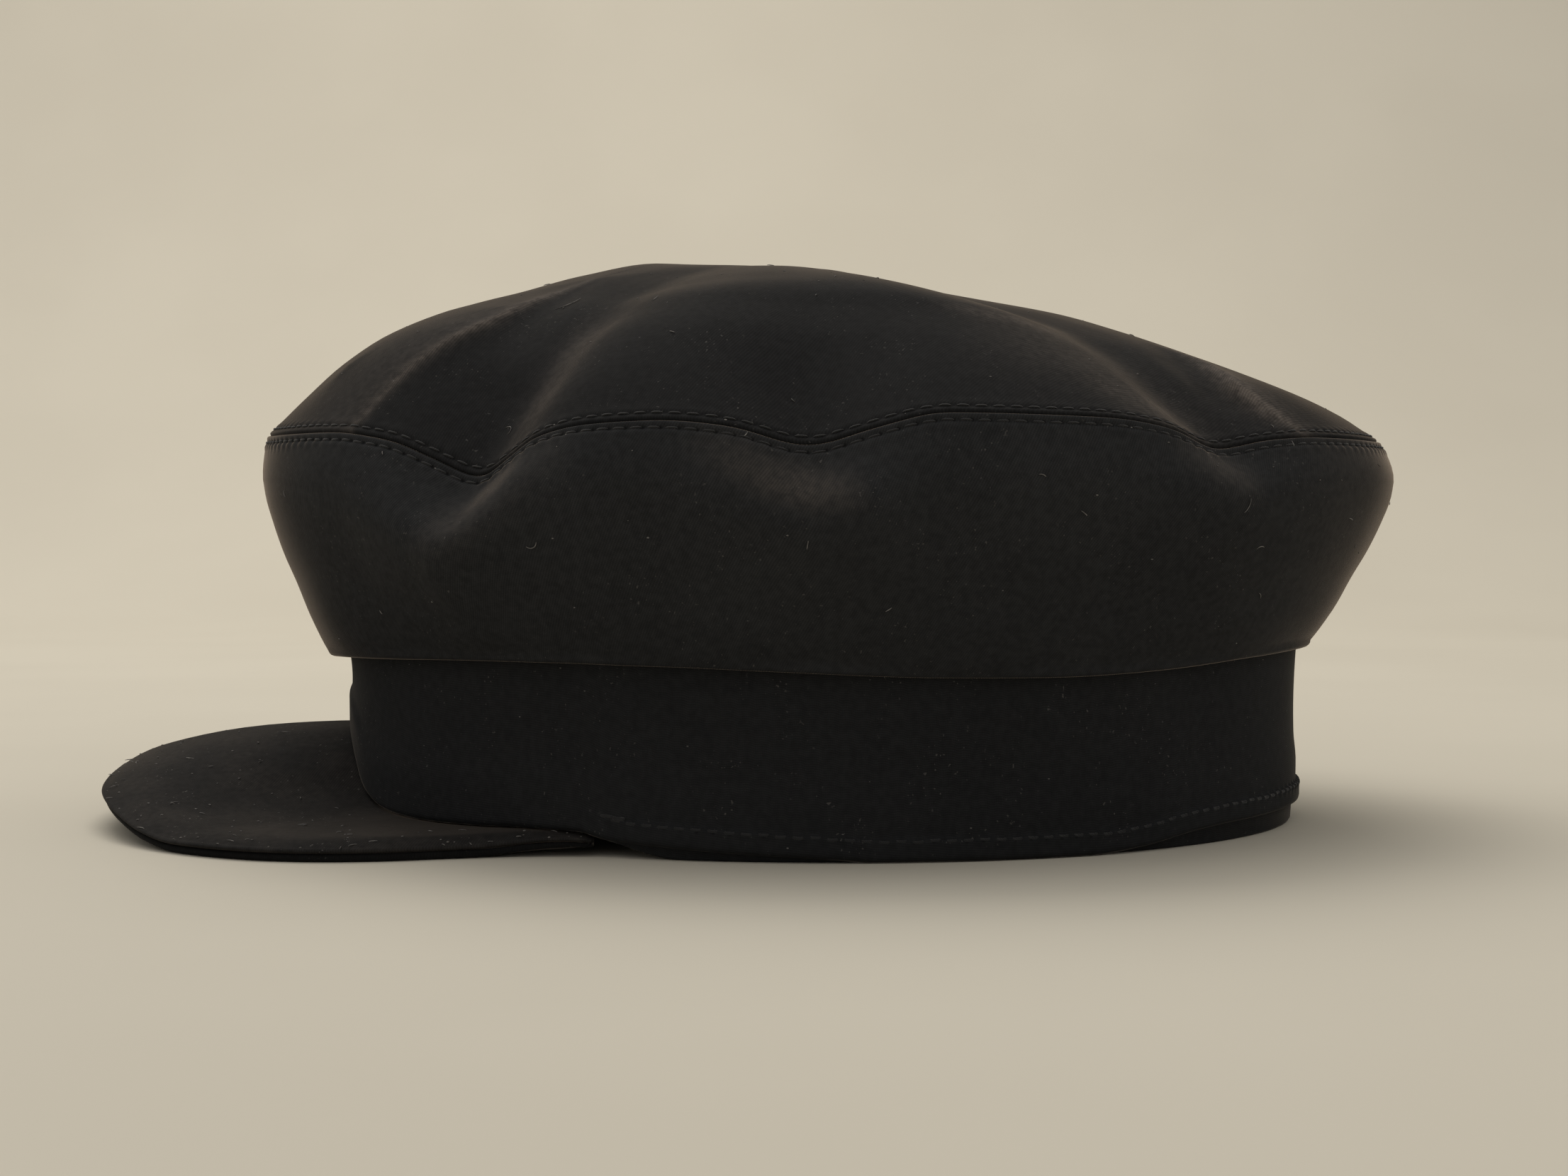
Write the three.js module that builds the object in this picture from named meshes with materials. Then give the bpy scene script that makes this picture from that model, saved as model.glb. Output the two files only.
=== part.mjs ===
// A sailor cap in black cloth, lying on its hem: a flared crown with a dented rim,
// an upright band and a short curved peak
import * as THREE from 'three';

// Sizes in millimetres: the peak points to -Y, the wearer's left side is +X, height is +Z
const bandHalfLength = 101.2;
const bandHalfWidth = 84.5;
const bandWall = 2.5;
const bandRise = 1.6;
const hemHeight = 4.4;
const hemSwell = 0.8;
const clothWall = 1.6;
const seamGap = 0.3;
const turns = 96;
const peakTurns = 17;
const peakUpperWall = 2.3;
const peakUnderWall = 1.4;
const peakUnderInset = 0.6;
const peakRows = [0, 0.14, 0.32, 0.52, 0.72, 0.88, 0.97, 1];

// Angles in degrees, 0 at the front, 90 at the wearer's left, 180 at the back, 270 at the right.
// "out" is the distance outside the band's oval, "z" the height above the table.

// The rim seam and the side wall under it, which swells to a bulge and ends in a bottom fold
const wallColumns = ['angle', 'rimOut', 'rimZ', 'bulgeOut', 'bulgeZ', 'fullness', 'foldOut', 'foldZ'];
const wallRows = [
  [0, 16.3, 80.8, 17.6, 71.5, 1.0, 3.6, 33.9],
  [20, 16.2, 80.1, 17.8, 71.2, 1.0, 3.4, 34.8],
  [36, 15.8, 79.8, 18.2, 70.0, 1.0, 3.0, 35.5],
  [44, 13.4, 77.9, 18.8, 65.0, 0.7, 2.9, 35.9],
  [49, 10.8, 74.3, 19.2, 60.5, 0.35, 2.8, 36.1],
  [54, 8.8, 70.8, 19.4, 57.0, 0.1, 2.8, 36.2],
  [58, 9.6, 74.3, 19.0, 60.0, 0.3, 2.8, 36.2],
  [62, 11.6, 78.0, 18.6, 66.0, 0.7, 2.7, 36.2],
  [68, 13.9, 80.1, 18.3, 69.5, 1.0, 2.6, 36.0],
  [75, 15.6, 80.6, 18.3, 70.5, 1.0, 2.6, 35.8],
  [81, 14.6, 79.5, 18.4, 67.0, 0.7, 2.6, 35.4],
  [88, 12.8, 76.0, 18.8, 62.0, 0.2, 2.6, 34.9],
  [94, 14.2, 79.2, 18.5, 66.5, 0.6, 2.6, 34.4],
  [100, 15.6, 81.9, 18.3, 70.5, 1.0, 2.6, 34.0],
  [115, 16.2, 81.3, 18.5, 70.5, 1.0, 2.6, 33.7],
  [122, 14.6, 79.8, 18.7, 68.5, 0.7, 2.4, 34.0],
  [130, 11.8, 76.1, 19.0, 66.0, 0.3, 2.2, 34.6],
  [136, 14.1, 78.0, 19.0, 68.0, 0.6, 2.1, 35.2],
  [143, 15.9, 78.8, 19.1, 70.0, 1.0, 2.0, 35.8],
  [160, 16.2, 78.9, 19.3, 70.8, 1.0, 1.9, 36.4],
  [180, 16.4, 79.3, 19.5, 71.0, 1.0, 1.8, 36.2],
  [205, 16.2, 79.2, 19.2, 70.6, 1.0, 1.9, 35.9],
  [232, 14.4, 77.4, 18.8, 67.5, 0.6, 2.2, 35.4],
  [255, 16.0, 80.2, 18.4, 70.4, 1.0, 2.5, 35.0],
  [278, 14.9, 79.0, 18.4, 67.4, 0.6, 2.6, 35.0],
  [300, 16.0, 80.4, 18.2, 70.4, 1.0, 2.7, 35.4],
  [320, 14.2, 78.0, 18.2, 67.6, 0.6, 2.9, 35.6],
  [340, 16.1, 80.3, 17.8, 71.0, 1.0, 3.4, 34.8],
];

// How the wall opens from the bottom fold to the bulge: share of the height, share of the flare
const flareColumns = ['rise', 'flare'];
const flareRows = [
  [0, 0],
  [0.08, 0.12],
  [0.17, 0.24],
  [0.25, 0.34],
  [0.42, 0.52],
  [0.58, 0.7],
  [0.75, 0.855],
  [0.9, 0.965],
  [1, 1],
];

// Where the wall is sampled, from the bulge down to the fold and from the rim down to the bulge
const lowerShares = [0.82, 0.63, 0.44, 0.26, 0.11];
const upperShares = [0, 0.16, 0.38, 0.66, 1];

// The top panel's rise from the rim's level to the middle, read along eight radii, in shares
const topRimZ = 80;
const topMiddleZ = 116.3;
const dentReach = 7;
const topAngles = [0, 45, 90, 135, 180];
const topColumns = ['share', 'front', 'frontSide', 'side', 'backSide', 'back'];
const topRows = [
  [0, 1, 1, 1, 1, 1],
  [0.07, 1.015, 1.005, 0.995, 0.975, 0.965],
  [0.16, 1.035, 1, 0.965, 0.915, 0.895],
  [0.3, 1.055, 0.975, 0.915, 0.815, 0.81],
  [0.44, 0.97, 0.89, 0.855, 0.7, 0.705],
  [0.57, 0.84, 0.785, 0.785, 0.575, 0.56],
  [0.69, 0.735, 0.68, 0.69, 0.445, 0.415],
  [0.79, 0.605, 0.55, 0.545, 0.325, 0.305],
  [0.87, 0.425, 0.39, 0.37, 0.235, 0.215],
  [0.935, 0.22, 0.205, 0.2, 0.135, 0.13],
  [0.975, 0.085, 0.08, 0.08, 0.055, 0.05],
  [1, 0, 0, 0, 0, 0],
];

// Folds pressed into the top panel, each a straight line in plan with its own width and lift
const foldColumns = ['fromX', 'fromY', 'toX', 'toY', 'width', 'fromLift', 'toLift'];
const foldRows = [
  [72, -65, 14, -52, 13, -5.5, -0.6],
  [94, -5, 76, -6, 12, -1.5, 0],
  [56, 28, 76, 60, 8, 1.0, 1.0],
  [71, 69, 36, 55, 9, -3.5, -1.5],
  [-66, 60, -34, 34, 13, -2.5, -0.8],
  [-62, -70, -24, -48, 13, -3.0, -0.8],
];

// The band's bottom edge, which rides over the peak in front and lifts off the table at the back
const hemColumns = ['angle', 'hemZ'];
const hemSwellFrom = 63;
const hemSwellTo = 72;
const hemRows = [
  [0, 19.8],
  [6, 19.2],
  [12, 17.2],
  [17, 14.0],
  [20, 10.8],
  [23, 8.2],
  [27, 6.3],
  [32, 5.0],
  [38, 4.4],
  [47, 4.5],
  [56, 4.8],
  [62, 4.7],
  [66, 3.2],
  [75, 2.0],
  [84, 1.1],
  [91, 0.5],
  [95, 0],
  [119, 0],
  [126, 0.6],
  [135, 2.2],
  [143, 2.8],
  [160, 3.2],
  [180, 3.5],
];

// The peak's outline on one side, from the middle of its front edge back to the band
const outlineColumns = ['x', 'y'];
const outlineRows = [
  [0, -151.5],
  [15, -150.5],
  [30, -147.7],
  [45, -142.1],
  [57, -135.5],
  [67, -127.6],
  [75, -118.1],
  [80.5, -108],
  [83, -99],
  [83.5, -91],
  [82.4, -82],
  [79.8, -73],
  [77.6, -65],
  [76.4, -57],
  [76.3, -50],
  [76.6, -44.8],
];

// The height of the peak's outer edge and its thickness along the same outline
const edgeColumns = ['x', 'y', 'topZ', 'thickness'];
const edgeRows = [
  [0, -151.5, 11.4, 4],
  [30, -147.7, 9.2, 4],
  [50, -139.6, 7.3, 4],
  [62, -131.8, 5.2, 4],
  [71, -123.3, 4.0, 4],
  [83.5, -91, 4.0, 4],
  [78.3, -67, 4.0, 3.9],
  [76.3, -52, 4.8, 3.0],
  [76.6, -44.8, 4.3, 2.0],
];

const crownBlack = new THREE.MeshStandardMaterial({ color: 0x1c1a19, roughness: 0.92, metalness: 0 });
const topBlack = new THREE.MeshStandardMaterial({ color: 0x1e1c1a, roughness: 0.92, metalness: 0 });
const bandBlack = new THREE.MeshStandardMaterial({ color: 0x191817, roughness: 0.94, metalness: 0 });
const peakBlack = new THREE.MeshStandardMaterial({ color: 0x1f1d1c, roughness: 0.9, metalness: 0 });
const underBlack = new THREE.MeshStandardMaterial({ color: 0x161514, roughness: 0.94, metalness: 0 });

// Turns rows with named columns into one list of numbers per name
function table(columns, rows) {
  return Object.fromEntries(columns.map((name, i) => [name, rows.map((row) => row[i])]));
}

// A smooth curve through the given heights that keeps between its neighbours
function smooth(xs, ys, x) {
  const last = xs.length - 1;
  if (x <= xs[0]) return ys[0];
  if (x >= xs[last]) return ys[last];
  const i = xs.findIndex((at) => at > x) - 1;
  const slope = (k) => (ys[k + 1] - ys[k]) / (xs[k + 1] - xs[k]);
  const tangent = (k) => {
    if (k === 0) return slope(0);
    if (k === last) return slope(last - 1);
    const [before, after] = [slope(k - 1), slope(k)];
    return before * after <= 0 ? 0 : (2 * before * after) / (before + after);
  };
  const span = xs[i + 1] - xs[i];
  const t = (x - xs[i]) / span;
  const ease = t * t * (3 - 2 * t);
  const leave = tangent(i) * span * t * (1 - t) * (1 - t);
  const arrive = tangent(i + 1) * span * t * t * (t - 1);
  return ys[i] * (1 - ease) + ys[i + 1] * ease + leave + arrive;
}

// The same curve round the full circle, with the rows repeated before and after
function round(angles, values, angle) {
  const before = angles.map((at) => at - 360);
  const after = angles.map((at) => at + 360);
  return smooth([...before, ...angles, ...after], [...values, ...values, ...values], angle);
}

const wallTable = table(wallColumns, wallRows);
const flareTable = table(flareColumns, flareRows);
const topTable = table(topColumns, topRows);
const foldTable = foldRows.map((row) => Object.fromEntries(foldColumns.map((name, i) => [name, row[i]])));
const hemTable = table(hemColumns, hemRows);
const outlineTable = table(outlineColumns, outlineRows);
const edgeTable = table(edgeColumns, edgeRows);

function wallAt(angle) {
  const names = wallColumns.slice(1);
  return Object.fromEntries(names.map((name) => [name, round(wallTable.angle, wallTable[name], angle)]));
}

function hemZ(angle) {
  const turned = ((angle % 360) + 360) % 360;
  return smooth(hemTable.angle, hemTable.hemZ, turned > 180 ? 360 - turned : turned);
}

// A point of the plan, so far outside the band's oval
function onOval(angle, out) {
  const a = THREE.MathUtils.degToRad(angle);
  return new THREE.Vector2((bandHalfWidth + out) * Math.sin(a), -(bandHalfLength + out) * Math.cos(a));
}

// The same line moved sideways by the cloth's thickness, to its right as it is walked
function inset(line, wall) {
  return line.map((point, i) => {
    const ahead = line[Math.min(i + 1, line.length - 1)].clone().sub(line[Math.max(i - 1, 0)]).normalize();
    return new THREE.Vector2(point.x + ahead.y * wall, point.y - ahead.x * wall);
  });
}

// Half of the points of a line, both ends kept
function everyOther(line) {
  return line.filter((point, i) => i % 2 === 0 || i === line.length - 1);
}

// A ring turned on the lathe, then each of its points put where the cap has it at that angle
function bentRing(sectionAt, placeAt) {
  const geometry = new THREE.LatheGeometry(sectionAt(0), turns);
  const position = geometry.attributes.position;
  for (let turn = 0; turn <= turns; turn += 1) {
    const angle = (360 * (turn % turns)) / turns;
    sectionAt(angle).forEach((point, i, section) => {
      const plan = placeAt(angle, point.x);
      position.setXYZ(turn * section.length + i, plan.x, plan.y, point.y);
    });
  }
  geometry.computeVertexNormals();
  return geometry;
}

// The outer face of the side wall, from the rim down to just above the bottom fold
function wallLine(wall) {
  const line = upperShares.map((share) => {
    const full = 1 - (1 - share) * (1 - share);
    const dented = share * share * (3 - 2 * share);
    const bend = THREE.MathUtils.lerp(dented, full, wall.fullness);
    const out = THREE.MathUtils.lerp(wall.rimOut, wall.bulgeOut, bend);
    return new THREE.Vector2(out, THREE.MathUtils.lerp(wall.rimZ - seamGap / 2, wall.bulgeZ, share));
  });
  for (const share of lowerShares) {
    const flare = smooth(flareTable.rise, flareTable.flare, share);
    const out = THREE.MathUtils.lerp(wall.foldOut, wall.bulgeOut, flare);
    line.push(new THREE.Vector2(out, THREE.MathUtils.lerp(wall.foldZ, wall.bulgeZ, share)));
  }
  return line;
}

function wallSection(angle) {
  const wall = wallAt(angle);
  const outer = wallLine(wall);
  const inner = everyOther(inset(outer, clothWall));
  inner[0].y = outer[0].y;
  const shelf = wall.foldZ + bandRise + seamGap;
  const corner = (out, z) => new THREE.Vector2(out, z);
  return [
    ...outer,
    corner(wall.foldOut, wall.foldZ + 1),
    corner(wall.foldOut - 0.9, wall.foldZ),
    corner(seamGap, wall.foldZ + 0.3),
    corner(seamGap, shelf),
    corner(-bandWall, shelf),
    corner(-bandWall, shelf + clothWall),
    ...inner.reverse(),
    outer[0],
  ].reverse();
}

// The top panel's rise between the radii, the same on both sides
function topShape(angle, share) {
  const turned = angle > 180 ? 360 - angle : angle;
  const heights = topColumns.slice(1).map((name) => smooth(topTable.share, topTable[name], share));
  return smooth(topAngles, heights, turned);
}

function foldLift(x, y) {
  return foldTable.reduce((lift, fold) => {
    const from = new THREE.Vector2(fold.fromX, fold.fromY);
    const along = new THREE.Vector2(fold.toX, fold.toY).sub(from);
    const reach = new THREE.Vector2(x, y).sub(from);
    const t = THREE.MathUtils.clamp(reach.dot(along) / along.lengthSq(), 0, 1);
    const away = reach.sub(along.multiplyScalar(t)).length() / fold.width;
    return lift + THREE.MathUtils.lerp(fold.fromLift, fold.toLift, t) * Math.exp(-away * away);
  }, 0);
}

function topSection(angle) {
  const wall = wallAt(angle);
  const rim = onOval(angle, wall.rimOut);
  const rimZ = wall.rimZ + seamGap / 2;
  const outer = topTable.share.map((share) => {
    const eased = Math.min(1, (1 - share) / 0.12);
    const lift = foldLift(rim.x * share, rim.y * share) * eased;
    const level = THREE.MathUtils.lerp(topRimZ, topMiddleZ, topShape(angle, share));
    const dent = (rimZ - topRimZ) * Math.pow(share, dentReach);
    return new THREE.Vector2(share * rim.length(), level + dent + lift);
  });
  const inner = everyOther(inset(outer, clothWall));
  const edge = inner[inner.length - 1];
  inner[0].set(0, outer[0].y - clothWall);
  edge.set(rim.length() - clothWall, rimZ);
  return [...inner, ...outer.reverse()];
}

// How far the turned hem stands out: not at all over the peak, fully behind it
function hemOut(angle) {
  const turned = angle > 180 ? 360 - angle : angle;
  return hemSwell * THREE.MathUtils.smoothstep(turned, hemSwellFrom, hemSwellTo);
}

function bandSection(angle) {
  const bottom = hemZ(angle);
  const swell = hemOut(angle);
  const top = wallAt(angle).foldZ + bandRise;
  const waist = THREE.MathUtils.lerp(bottom + hemHeight, top, 0.55);
  const corner = (out, z) => new THREE.Vector2(out, z);
  return [
    corner(-bandWall, bottom),
    corner(swell * 0.25, bottom),
    corner(swell, bottom + 0.9),
    corner(swell, bottom + hemHeight - 0.8),
    corner(0, bottom + hemHeight),
    corner(-0.7, waist),
    corner(0, top),
    corner(-bandWall, top),
    corner(-bandWall - 0.6, waist),
    corner(-bandWall, bottom + hemHeight),
    corner(-bandWall, bottom),
  ];
}

// The peak's outline, walked by its length from the middle of the front to one end
const outline = new THREE.SplineCurve(outlineRows.map(([x, y]) => new THREE.Vector2(x, y)));
const edgeShares = edgeRows.map(([x, y]) => {
  const samples = outline.getSpacedPoints(400);
  const gaps = samples.map((point) => Math.hypot(point.x - x, point.y - y));
  return gaps.indexOf(Math.min(...gaps)) / 400;
});

// A point of the peak's upper face: side and along in shares, from under the band to the edge
function peakPoint(side, along, edgeInset) {
  const reach = Math.abs(side);
  const angle = reach * (360 / turns) * peakTurns;
  const bandZ = hemZ(angle) - seamGap;
  const inside = onOval(angle, -bandWall);
  const start = onOval(angle, hemOut(angle) + 0.1);
  const edge = outline.getPointAt(reach);
  const edgeZ = smooth(edgeShares, edgeTable.topZ, reach);
  const share = Math.min(along, 1 - edgeInset / edge.distanceTo(start));
  const plan = share < 0 ? inside : start.lerp(edge, share);
  const droop = Math.pow(Math.max(share, 0), THREE.MathUtils.lerp(2.1, 1, Math.min(1, reach * 2.5)));
  const z = THREE.MathUtils.lerp(bandZ, edgeZ, droop);
  return new THREE.Vector3(plan.x * Math.sign(side || 1), plan.y, z);
}

// Cuts each cell of the box's upper side along the same diagonal as the cell under it
function matchDiagonals(geometry) {
  const { index, groups } = geometry;
  const { start, count } = groups[4];
  for (let i = start; i < start + count; i += 6) {
    const [a, b, d, , c] = [0, 1, 2, 3, 4].map((k) => index.getX(i + k));
    [a, b, c, a, c, d].forEach((corner, k) => index.setX(i + k, corner));
  }
}

// One cover of the peak: a flat grid of cells bent over the peak's shape, its edge rounded off
function peakCover(above, wall, gap, edgeInset, edgeRound) {
  const rows = [-1, ...peakRows];
  const geometry = new THREE.BoxGeometry(2, rows.length - 1, 1, 2 * peakTurns, rows.length - 1, 1);
  const position = geometry.attributes.position;
  for (let i = 0; i < position.count; i += 1) {
    const side = position.getX(i);
    const row = Math.round((rows.length - 1) / 2 - position.getY(i));
    const upper = position.getZ(i) > 0;
    const place = peakPoint(side, rows[row], edgeInset);
    const thickness = smooth(edgeShares, edgeTable.thickness, Math.abs(side)) / edgeTable.thickness[0];
    const rounding = row === rows.length - 1 ? edgeRound : 0;
    const depth = upper ? above + rounding : above + wall;
    position.setXYZ(i, place.x, place.y, place.z - gap - depth * thickness);
  }
  matchDiagonals(geometry);
  geometry.computeVertexNormals();
  return geometry;
}

function named(name, geometry, material) {
  const mesh = new THREE.Mesh(geometry, material);
  mesh.name = name;
  return mesh;
}

const cap = new THREE.Group();
cap.name = 'sailor_cap';
cap.add(named('crown_top', bentRing(topSection, (angle, radius) => {
  const rim = onOval(angle, wallAt(angle).rimOut);
  return rim.setLength(radius);
}), topBlack));
cap.add(named('crown_side', bentRing(wallSection, onOval), crownBlack));
cap.add(named('band', bentRing(bandSection, onOval), bandBlack));
cap.add(named('peak_upper', peakCover(0, peakUpperWall, 0, 0, 1.1), peakBlack));
const underCover = peakCover(peakUpperWall, peakUnderWall, seamGap, peakUnderInset, 0);
cap.add(named('peak_under', underCover, underBlack));

// Centred in plan over the origin, with its lowest point on the ground
const bounds = new THREE.Box3().setFromObject(cap);
const middle = bounds.getCenter(new THREE.Vector3());
cap.position.set(-middle.x, -middle.y, -bounds.min.z);

export default cap;
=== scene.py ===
"""A sailor cap in black cloth, dressed over its frame: a sewn crown, an upright band and a peak."""

import logging
import math
import random
from collections.abc import Callable, Sequence
from dataclasses import dataclass, field, replace
from enum import Enum

import bpy
import numpy as np
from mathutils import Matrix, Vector


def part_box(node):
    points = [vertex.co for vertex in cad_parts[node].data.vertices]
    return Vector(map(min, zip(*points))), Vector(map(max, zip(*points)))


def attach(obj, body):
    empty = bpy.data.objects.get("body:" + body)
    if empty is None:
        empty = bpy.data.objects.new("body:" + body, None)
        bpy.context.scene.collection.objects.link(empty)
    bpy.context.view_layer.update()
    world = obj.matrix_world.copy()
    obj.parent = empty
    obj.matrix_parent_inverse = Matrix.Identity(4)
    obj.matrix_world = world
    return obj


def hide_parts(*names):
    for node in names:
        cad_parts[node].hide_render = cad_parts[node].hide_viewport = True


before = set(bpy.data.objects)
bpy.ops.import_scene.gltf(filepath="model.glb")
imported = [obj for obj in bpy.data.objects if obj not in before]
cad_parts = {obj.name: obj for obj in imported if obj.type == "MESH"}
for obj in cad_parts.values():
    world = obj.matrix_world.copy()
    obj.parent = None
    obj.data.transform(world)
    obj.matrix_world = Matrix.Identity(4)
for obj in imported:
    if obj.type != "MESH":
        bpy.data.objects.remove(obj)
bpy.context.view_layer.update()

# Lengths are millimetres in the tables and in the shapes, and metres in Blender's meshes.
# Angles run round the cap in degrees, 0 at the front, 90 at the wearer's left, 180 at the back.
# "Out" is the distance outside the band's oval.
MM = 0.001
BODY = "root"
FULL_TURN = 360.0
CLOTH_MAP = "cloth"
# Pales the cloth where it is worn and, as painted sheen, where light grazes its ridges, facets, swells and
# back edge
WEAR_AND_SHEEN = "wear_and_sheen"
SEWN = "sewn"
MERGE_GAP = 0.001 * MM
LOOP_STEP = 0.25
ROUND_SAMPLES = 7201

log = logging.getLogger("sailor_cap")

Array = np.ndarray
Place = Callable[[Array], Array]


# Smooth lines and surfaces

class Curve:
    """A smooth line through the values of a table, which keeps between its neighbours."""

    def __init__(self, places: Sequence[float], values: Sequence[float], turn: float = 0.0) -> None:
        """Works out the slope at each row.

        Args:
            places: where the rows stand, rising.
            values: the value of each row.
            turn: the length after which the line repeats, or 0 for a line with two ends.
        """
        self.places = np.array(places, float)
        self.values = np.array(values, float)
        if turn:
            self.places = np.concatenate([self.places - turn, self.places, self.places + turn])
            self.values = np.tile(self.values, 3)
        slopes = np.diff(self.values) / np.diff(self.places)
        before, after = slopes[:-1], slopes[1:]
        level = before * after <= 0
        meeting = np.where(level, 1.0, before + after)
        inner = np.where(level, 0.0, 2 * before * after / meeting)
        self.tangents = np.concatenate([slopes[:1], inner, slopes[-1:]])

    def at(self, x: Array) -> Array:
        """The line's value at each x, which is held at the end values outside the rows."""
        x = np.clip(x, self.places[0], self.places[-1])
        i = np.clip(np.searchsorted(self.places, x, side="right") - 1, 0, len(self.places) - 2)
        span = self.places[i + 1] - self.places[i]
        t = (x - self.places[i]) / span
        ease = t * t * (3 - 2 * t)
        leave = self.tangents[i] * span * t * (1 - t) ** 2
        arrive = self.tangents[i + 1] * span * t * t * (t - 1)
        return self.values[i] * (1 - ease) + self.values[i + 1] * ease + leave + arrive


class Loop:
    """A closed line round the cap, read from a table and softened so that no row shows as a corner."""

    def __init__(self, angles: Sequence[float], values: Sequence[float], soften: float = 1.4) -> None:
        """Softens the table's line with a rounded window.

        Args:
            angles: the angle of each row, rising from 0.
            values: the value of each row.
            soften: the window's width in degrees.
        """
        self.fine = np.arange(0, FULL_TURN, LOOP_STEP)
        sharp = Curve(angles, values, FULL_TURN).at(self.fine)
        gap = np.minimum(self.fine, FULL_TURN - self.fine)
        window = np.exp(-((gap / soften) ** 2))
        blend = np.fft.rfft(sharp) * np.fft.rfft(window / window.sum())
        self.values = np.fft.irfft(blend, len(sharp))

    def at(self, angle: Array) -> Array:
        """The line's value at each angle."""
        return np.interp(angle, self.fine, self.values, period=FULL_TURN)


def columns_of(names: Sequence[str], rows: Sequence[Sequence[float]]) -> dict[str, list[float]]:
    """Turns rows with named columns into one list of numbers for each name."""
    return {name: [row[i] for row in rows] for i, name in enumerate(names)}


def smoothstep(x: Array, low: float, high: float) -> Array:
    """Rises from 0 at low to 1 at high with level ends."""
    t = np.clip((np.asarray(x, float) - low) / (high - low), 0, 1)
    return t * t * (3 - 2 * t)


def lerp(a: Array, b: Array, share: Array) -> Array:
    """The value that lies so far of the way from a to b."""
    return a + (b - a) * share


def unit(vectors: Array) -> Array:
    """The same vectors with length 1."""
    return vectors / np.maximum(np.linalg.norm(vectors, axis=-1, keepdims=True), 1e-12)


def bell(x: Array, width: float) -> Array:
    """A rounded bump of height 1 about 0, nearly gone at twice its width."""
    return np.exp(-((x / width) ** 2))


@dataclass(frozen=True)
class Oval:
    """The band's oval in plan, on which every angle round the cap is read."""

    half_width: float = 84.5
    half_length: float = 101.2

    def points(self, angle: Array, out: Array, z: Array) -> Array:
        """Points at an angle, so far outside the oval and so high above the table.

        Args:
            angle: where round the cap, in degrees.
            out: how far outside the oval.
            z: how high above the table.

        Returns:
            One point for each, with the three numbers last.
        """
        angle, out, z = np.broadcast_arrays(angle, out, z)
        turn = np.radians(angle)
        x = (self.half_width + out) * np.sin(turn)
        y = -(self.half_length + out) * np.cos(turn)
        return np.stack([x, y, z], axis=-1)


OVAL = Oval()

# The peak's front edge lies this far in front of the oval's middle, which places the oval in the frame
PEAK_REACH = 151.5
SHIFT_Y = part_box("peak_upper")[0].y / MM + PEAK_REACH

# Cloth is kept this far above the table
TABLE_GAP = 0.05


def to_frame(points: Array) -> Array:
    """Moves points from the oval's own axes, in millimetres, to the frame's, in metres."""
    return (points + np.array([0, SHIFT_Y, 0])) * MM


def even_angles(line: Place, count: int) -> tuple[Array, float]:
    """Cuts a closed line round the cap into equal lengths.

    Args:
        line: the line's points at given angles.
        count: how many lengths.

    Returns:
        The angle at each cut, and the length of one piece in millimetres.
    """
    fine = np.linspace(0, FULL_TURN, ROUND_SAMPLES)
    steps = np.linalg.norm(np.diff(line(fine), axis=0), axis=1)
    walked = np.concatenate([[0], np.cumsum(steps)])
    length = walked[-1] / count
    return np.interp(np.arange(count) * length, walked, fine), length


def walk(lines: Array, distances: Array) -> Array:
    """Points at given distances along many lines at once.

    Args:
        lines: points, one line for each column, as samples by columns by 3.
        distances: distances from the first sample, as rows by columns.

    Returns:
        The points, as rows by columns by 3.
    """
    steps = np.linalg.norm(np.diff(lines, axis=0), axis=2)
    walked = np.concatenate([np.zeros((1, steps.shape[1])), np.cumsum(steps, axis=0)])
    found = np.empty((*distances.shape, 3))
    for column in range(lines.shape[1]):
        for axis in range(3):
            values = lines[:, column, axis]
            found[:, column, axis] = np.interp(distances[:, column], walked[:, column], values)
    return found


def line_lengths(lines: Array) -> Array:
    """The length of each column's line."""
    return np.linalg.norm(np.diff(lines, axis=0), axis=2).sum(axis=0)


def flat_cloth(points: Array, step: float) -> Array:
    """Lays a sleeve's vertices out on the flat cloth.

    Args:
        points: the vertices, as rows by columns by 3.
        step: the length of cloth from one column to the next.

    Returns:
        How far each vertex lies round the cap and how far down the rows, with the first column
        repeated one length further on, as rows by columns + 1 by 2.
    """
    steps = np.linalg.norm(np.diff(points, axis=0), axis=2)
    down = np.concatenate([np.zeros((1, points.shape[1])), np.cumsum(steps, axis=0)])
    down = np.concatenate([down, down[:, :1]], axis=1)
    along = np.broadcast_to(np.arange(down.shape[1]) * step, down.shape)
    return np.stack([along, down], axis=-1)


def outward(points: Array) -> Array:
    """The outward direction at each point of a skin that closes on itself round the cap."""
    along = np.roll(points, -1, axis=1) - np.roll(points, 1, axis=1)
    down = np.gradient(points, axis=0)
    return unit(np.cross(down, along))


@dataclass(frozen=True)
class Rumple:
    """Gentle unevenness of worn cloth, a sum of slow waves that cross in all directions."""

    seed: int
    height: float
    shortest: float = 16.0
    longest: float = 70.0
    waves: int = 14

    def at(self, points: Array) -> Array:
        """How far the cloth stands out at each point."""
        draw = random.Random(self.seed)
        total = np.zeros(points.shape[:-1])
        for _ in range(self.waves):
            length = draw.uniform(self.shortest, self.longest)
            heading = unit(np.array([draw.gauss(0, 1) for _ in range(3)]))
            phase = draw.uniform(0, 2 * math.pi)
            share = length / self.longest
            total += share * np.sin(points @ heading * 2 * math.pi / length + phase)
        return total * self.height / math.sqrt(self.waves)


# Cloth tubes and sewn rows

def vertex_places(mesh: bpy.types.Mesh) -> Array:
    """The place of each vertex of a mesh, as one row for each."""
    flat = np.empty(len(mesh.vertices) * 3)
    mesh.vertices.foreach_get("co", flat)
    return flat.reshape(-1, 3)


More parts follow.
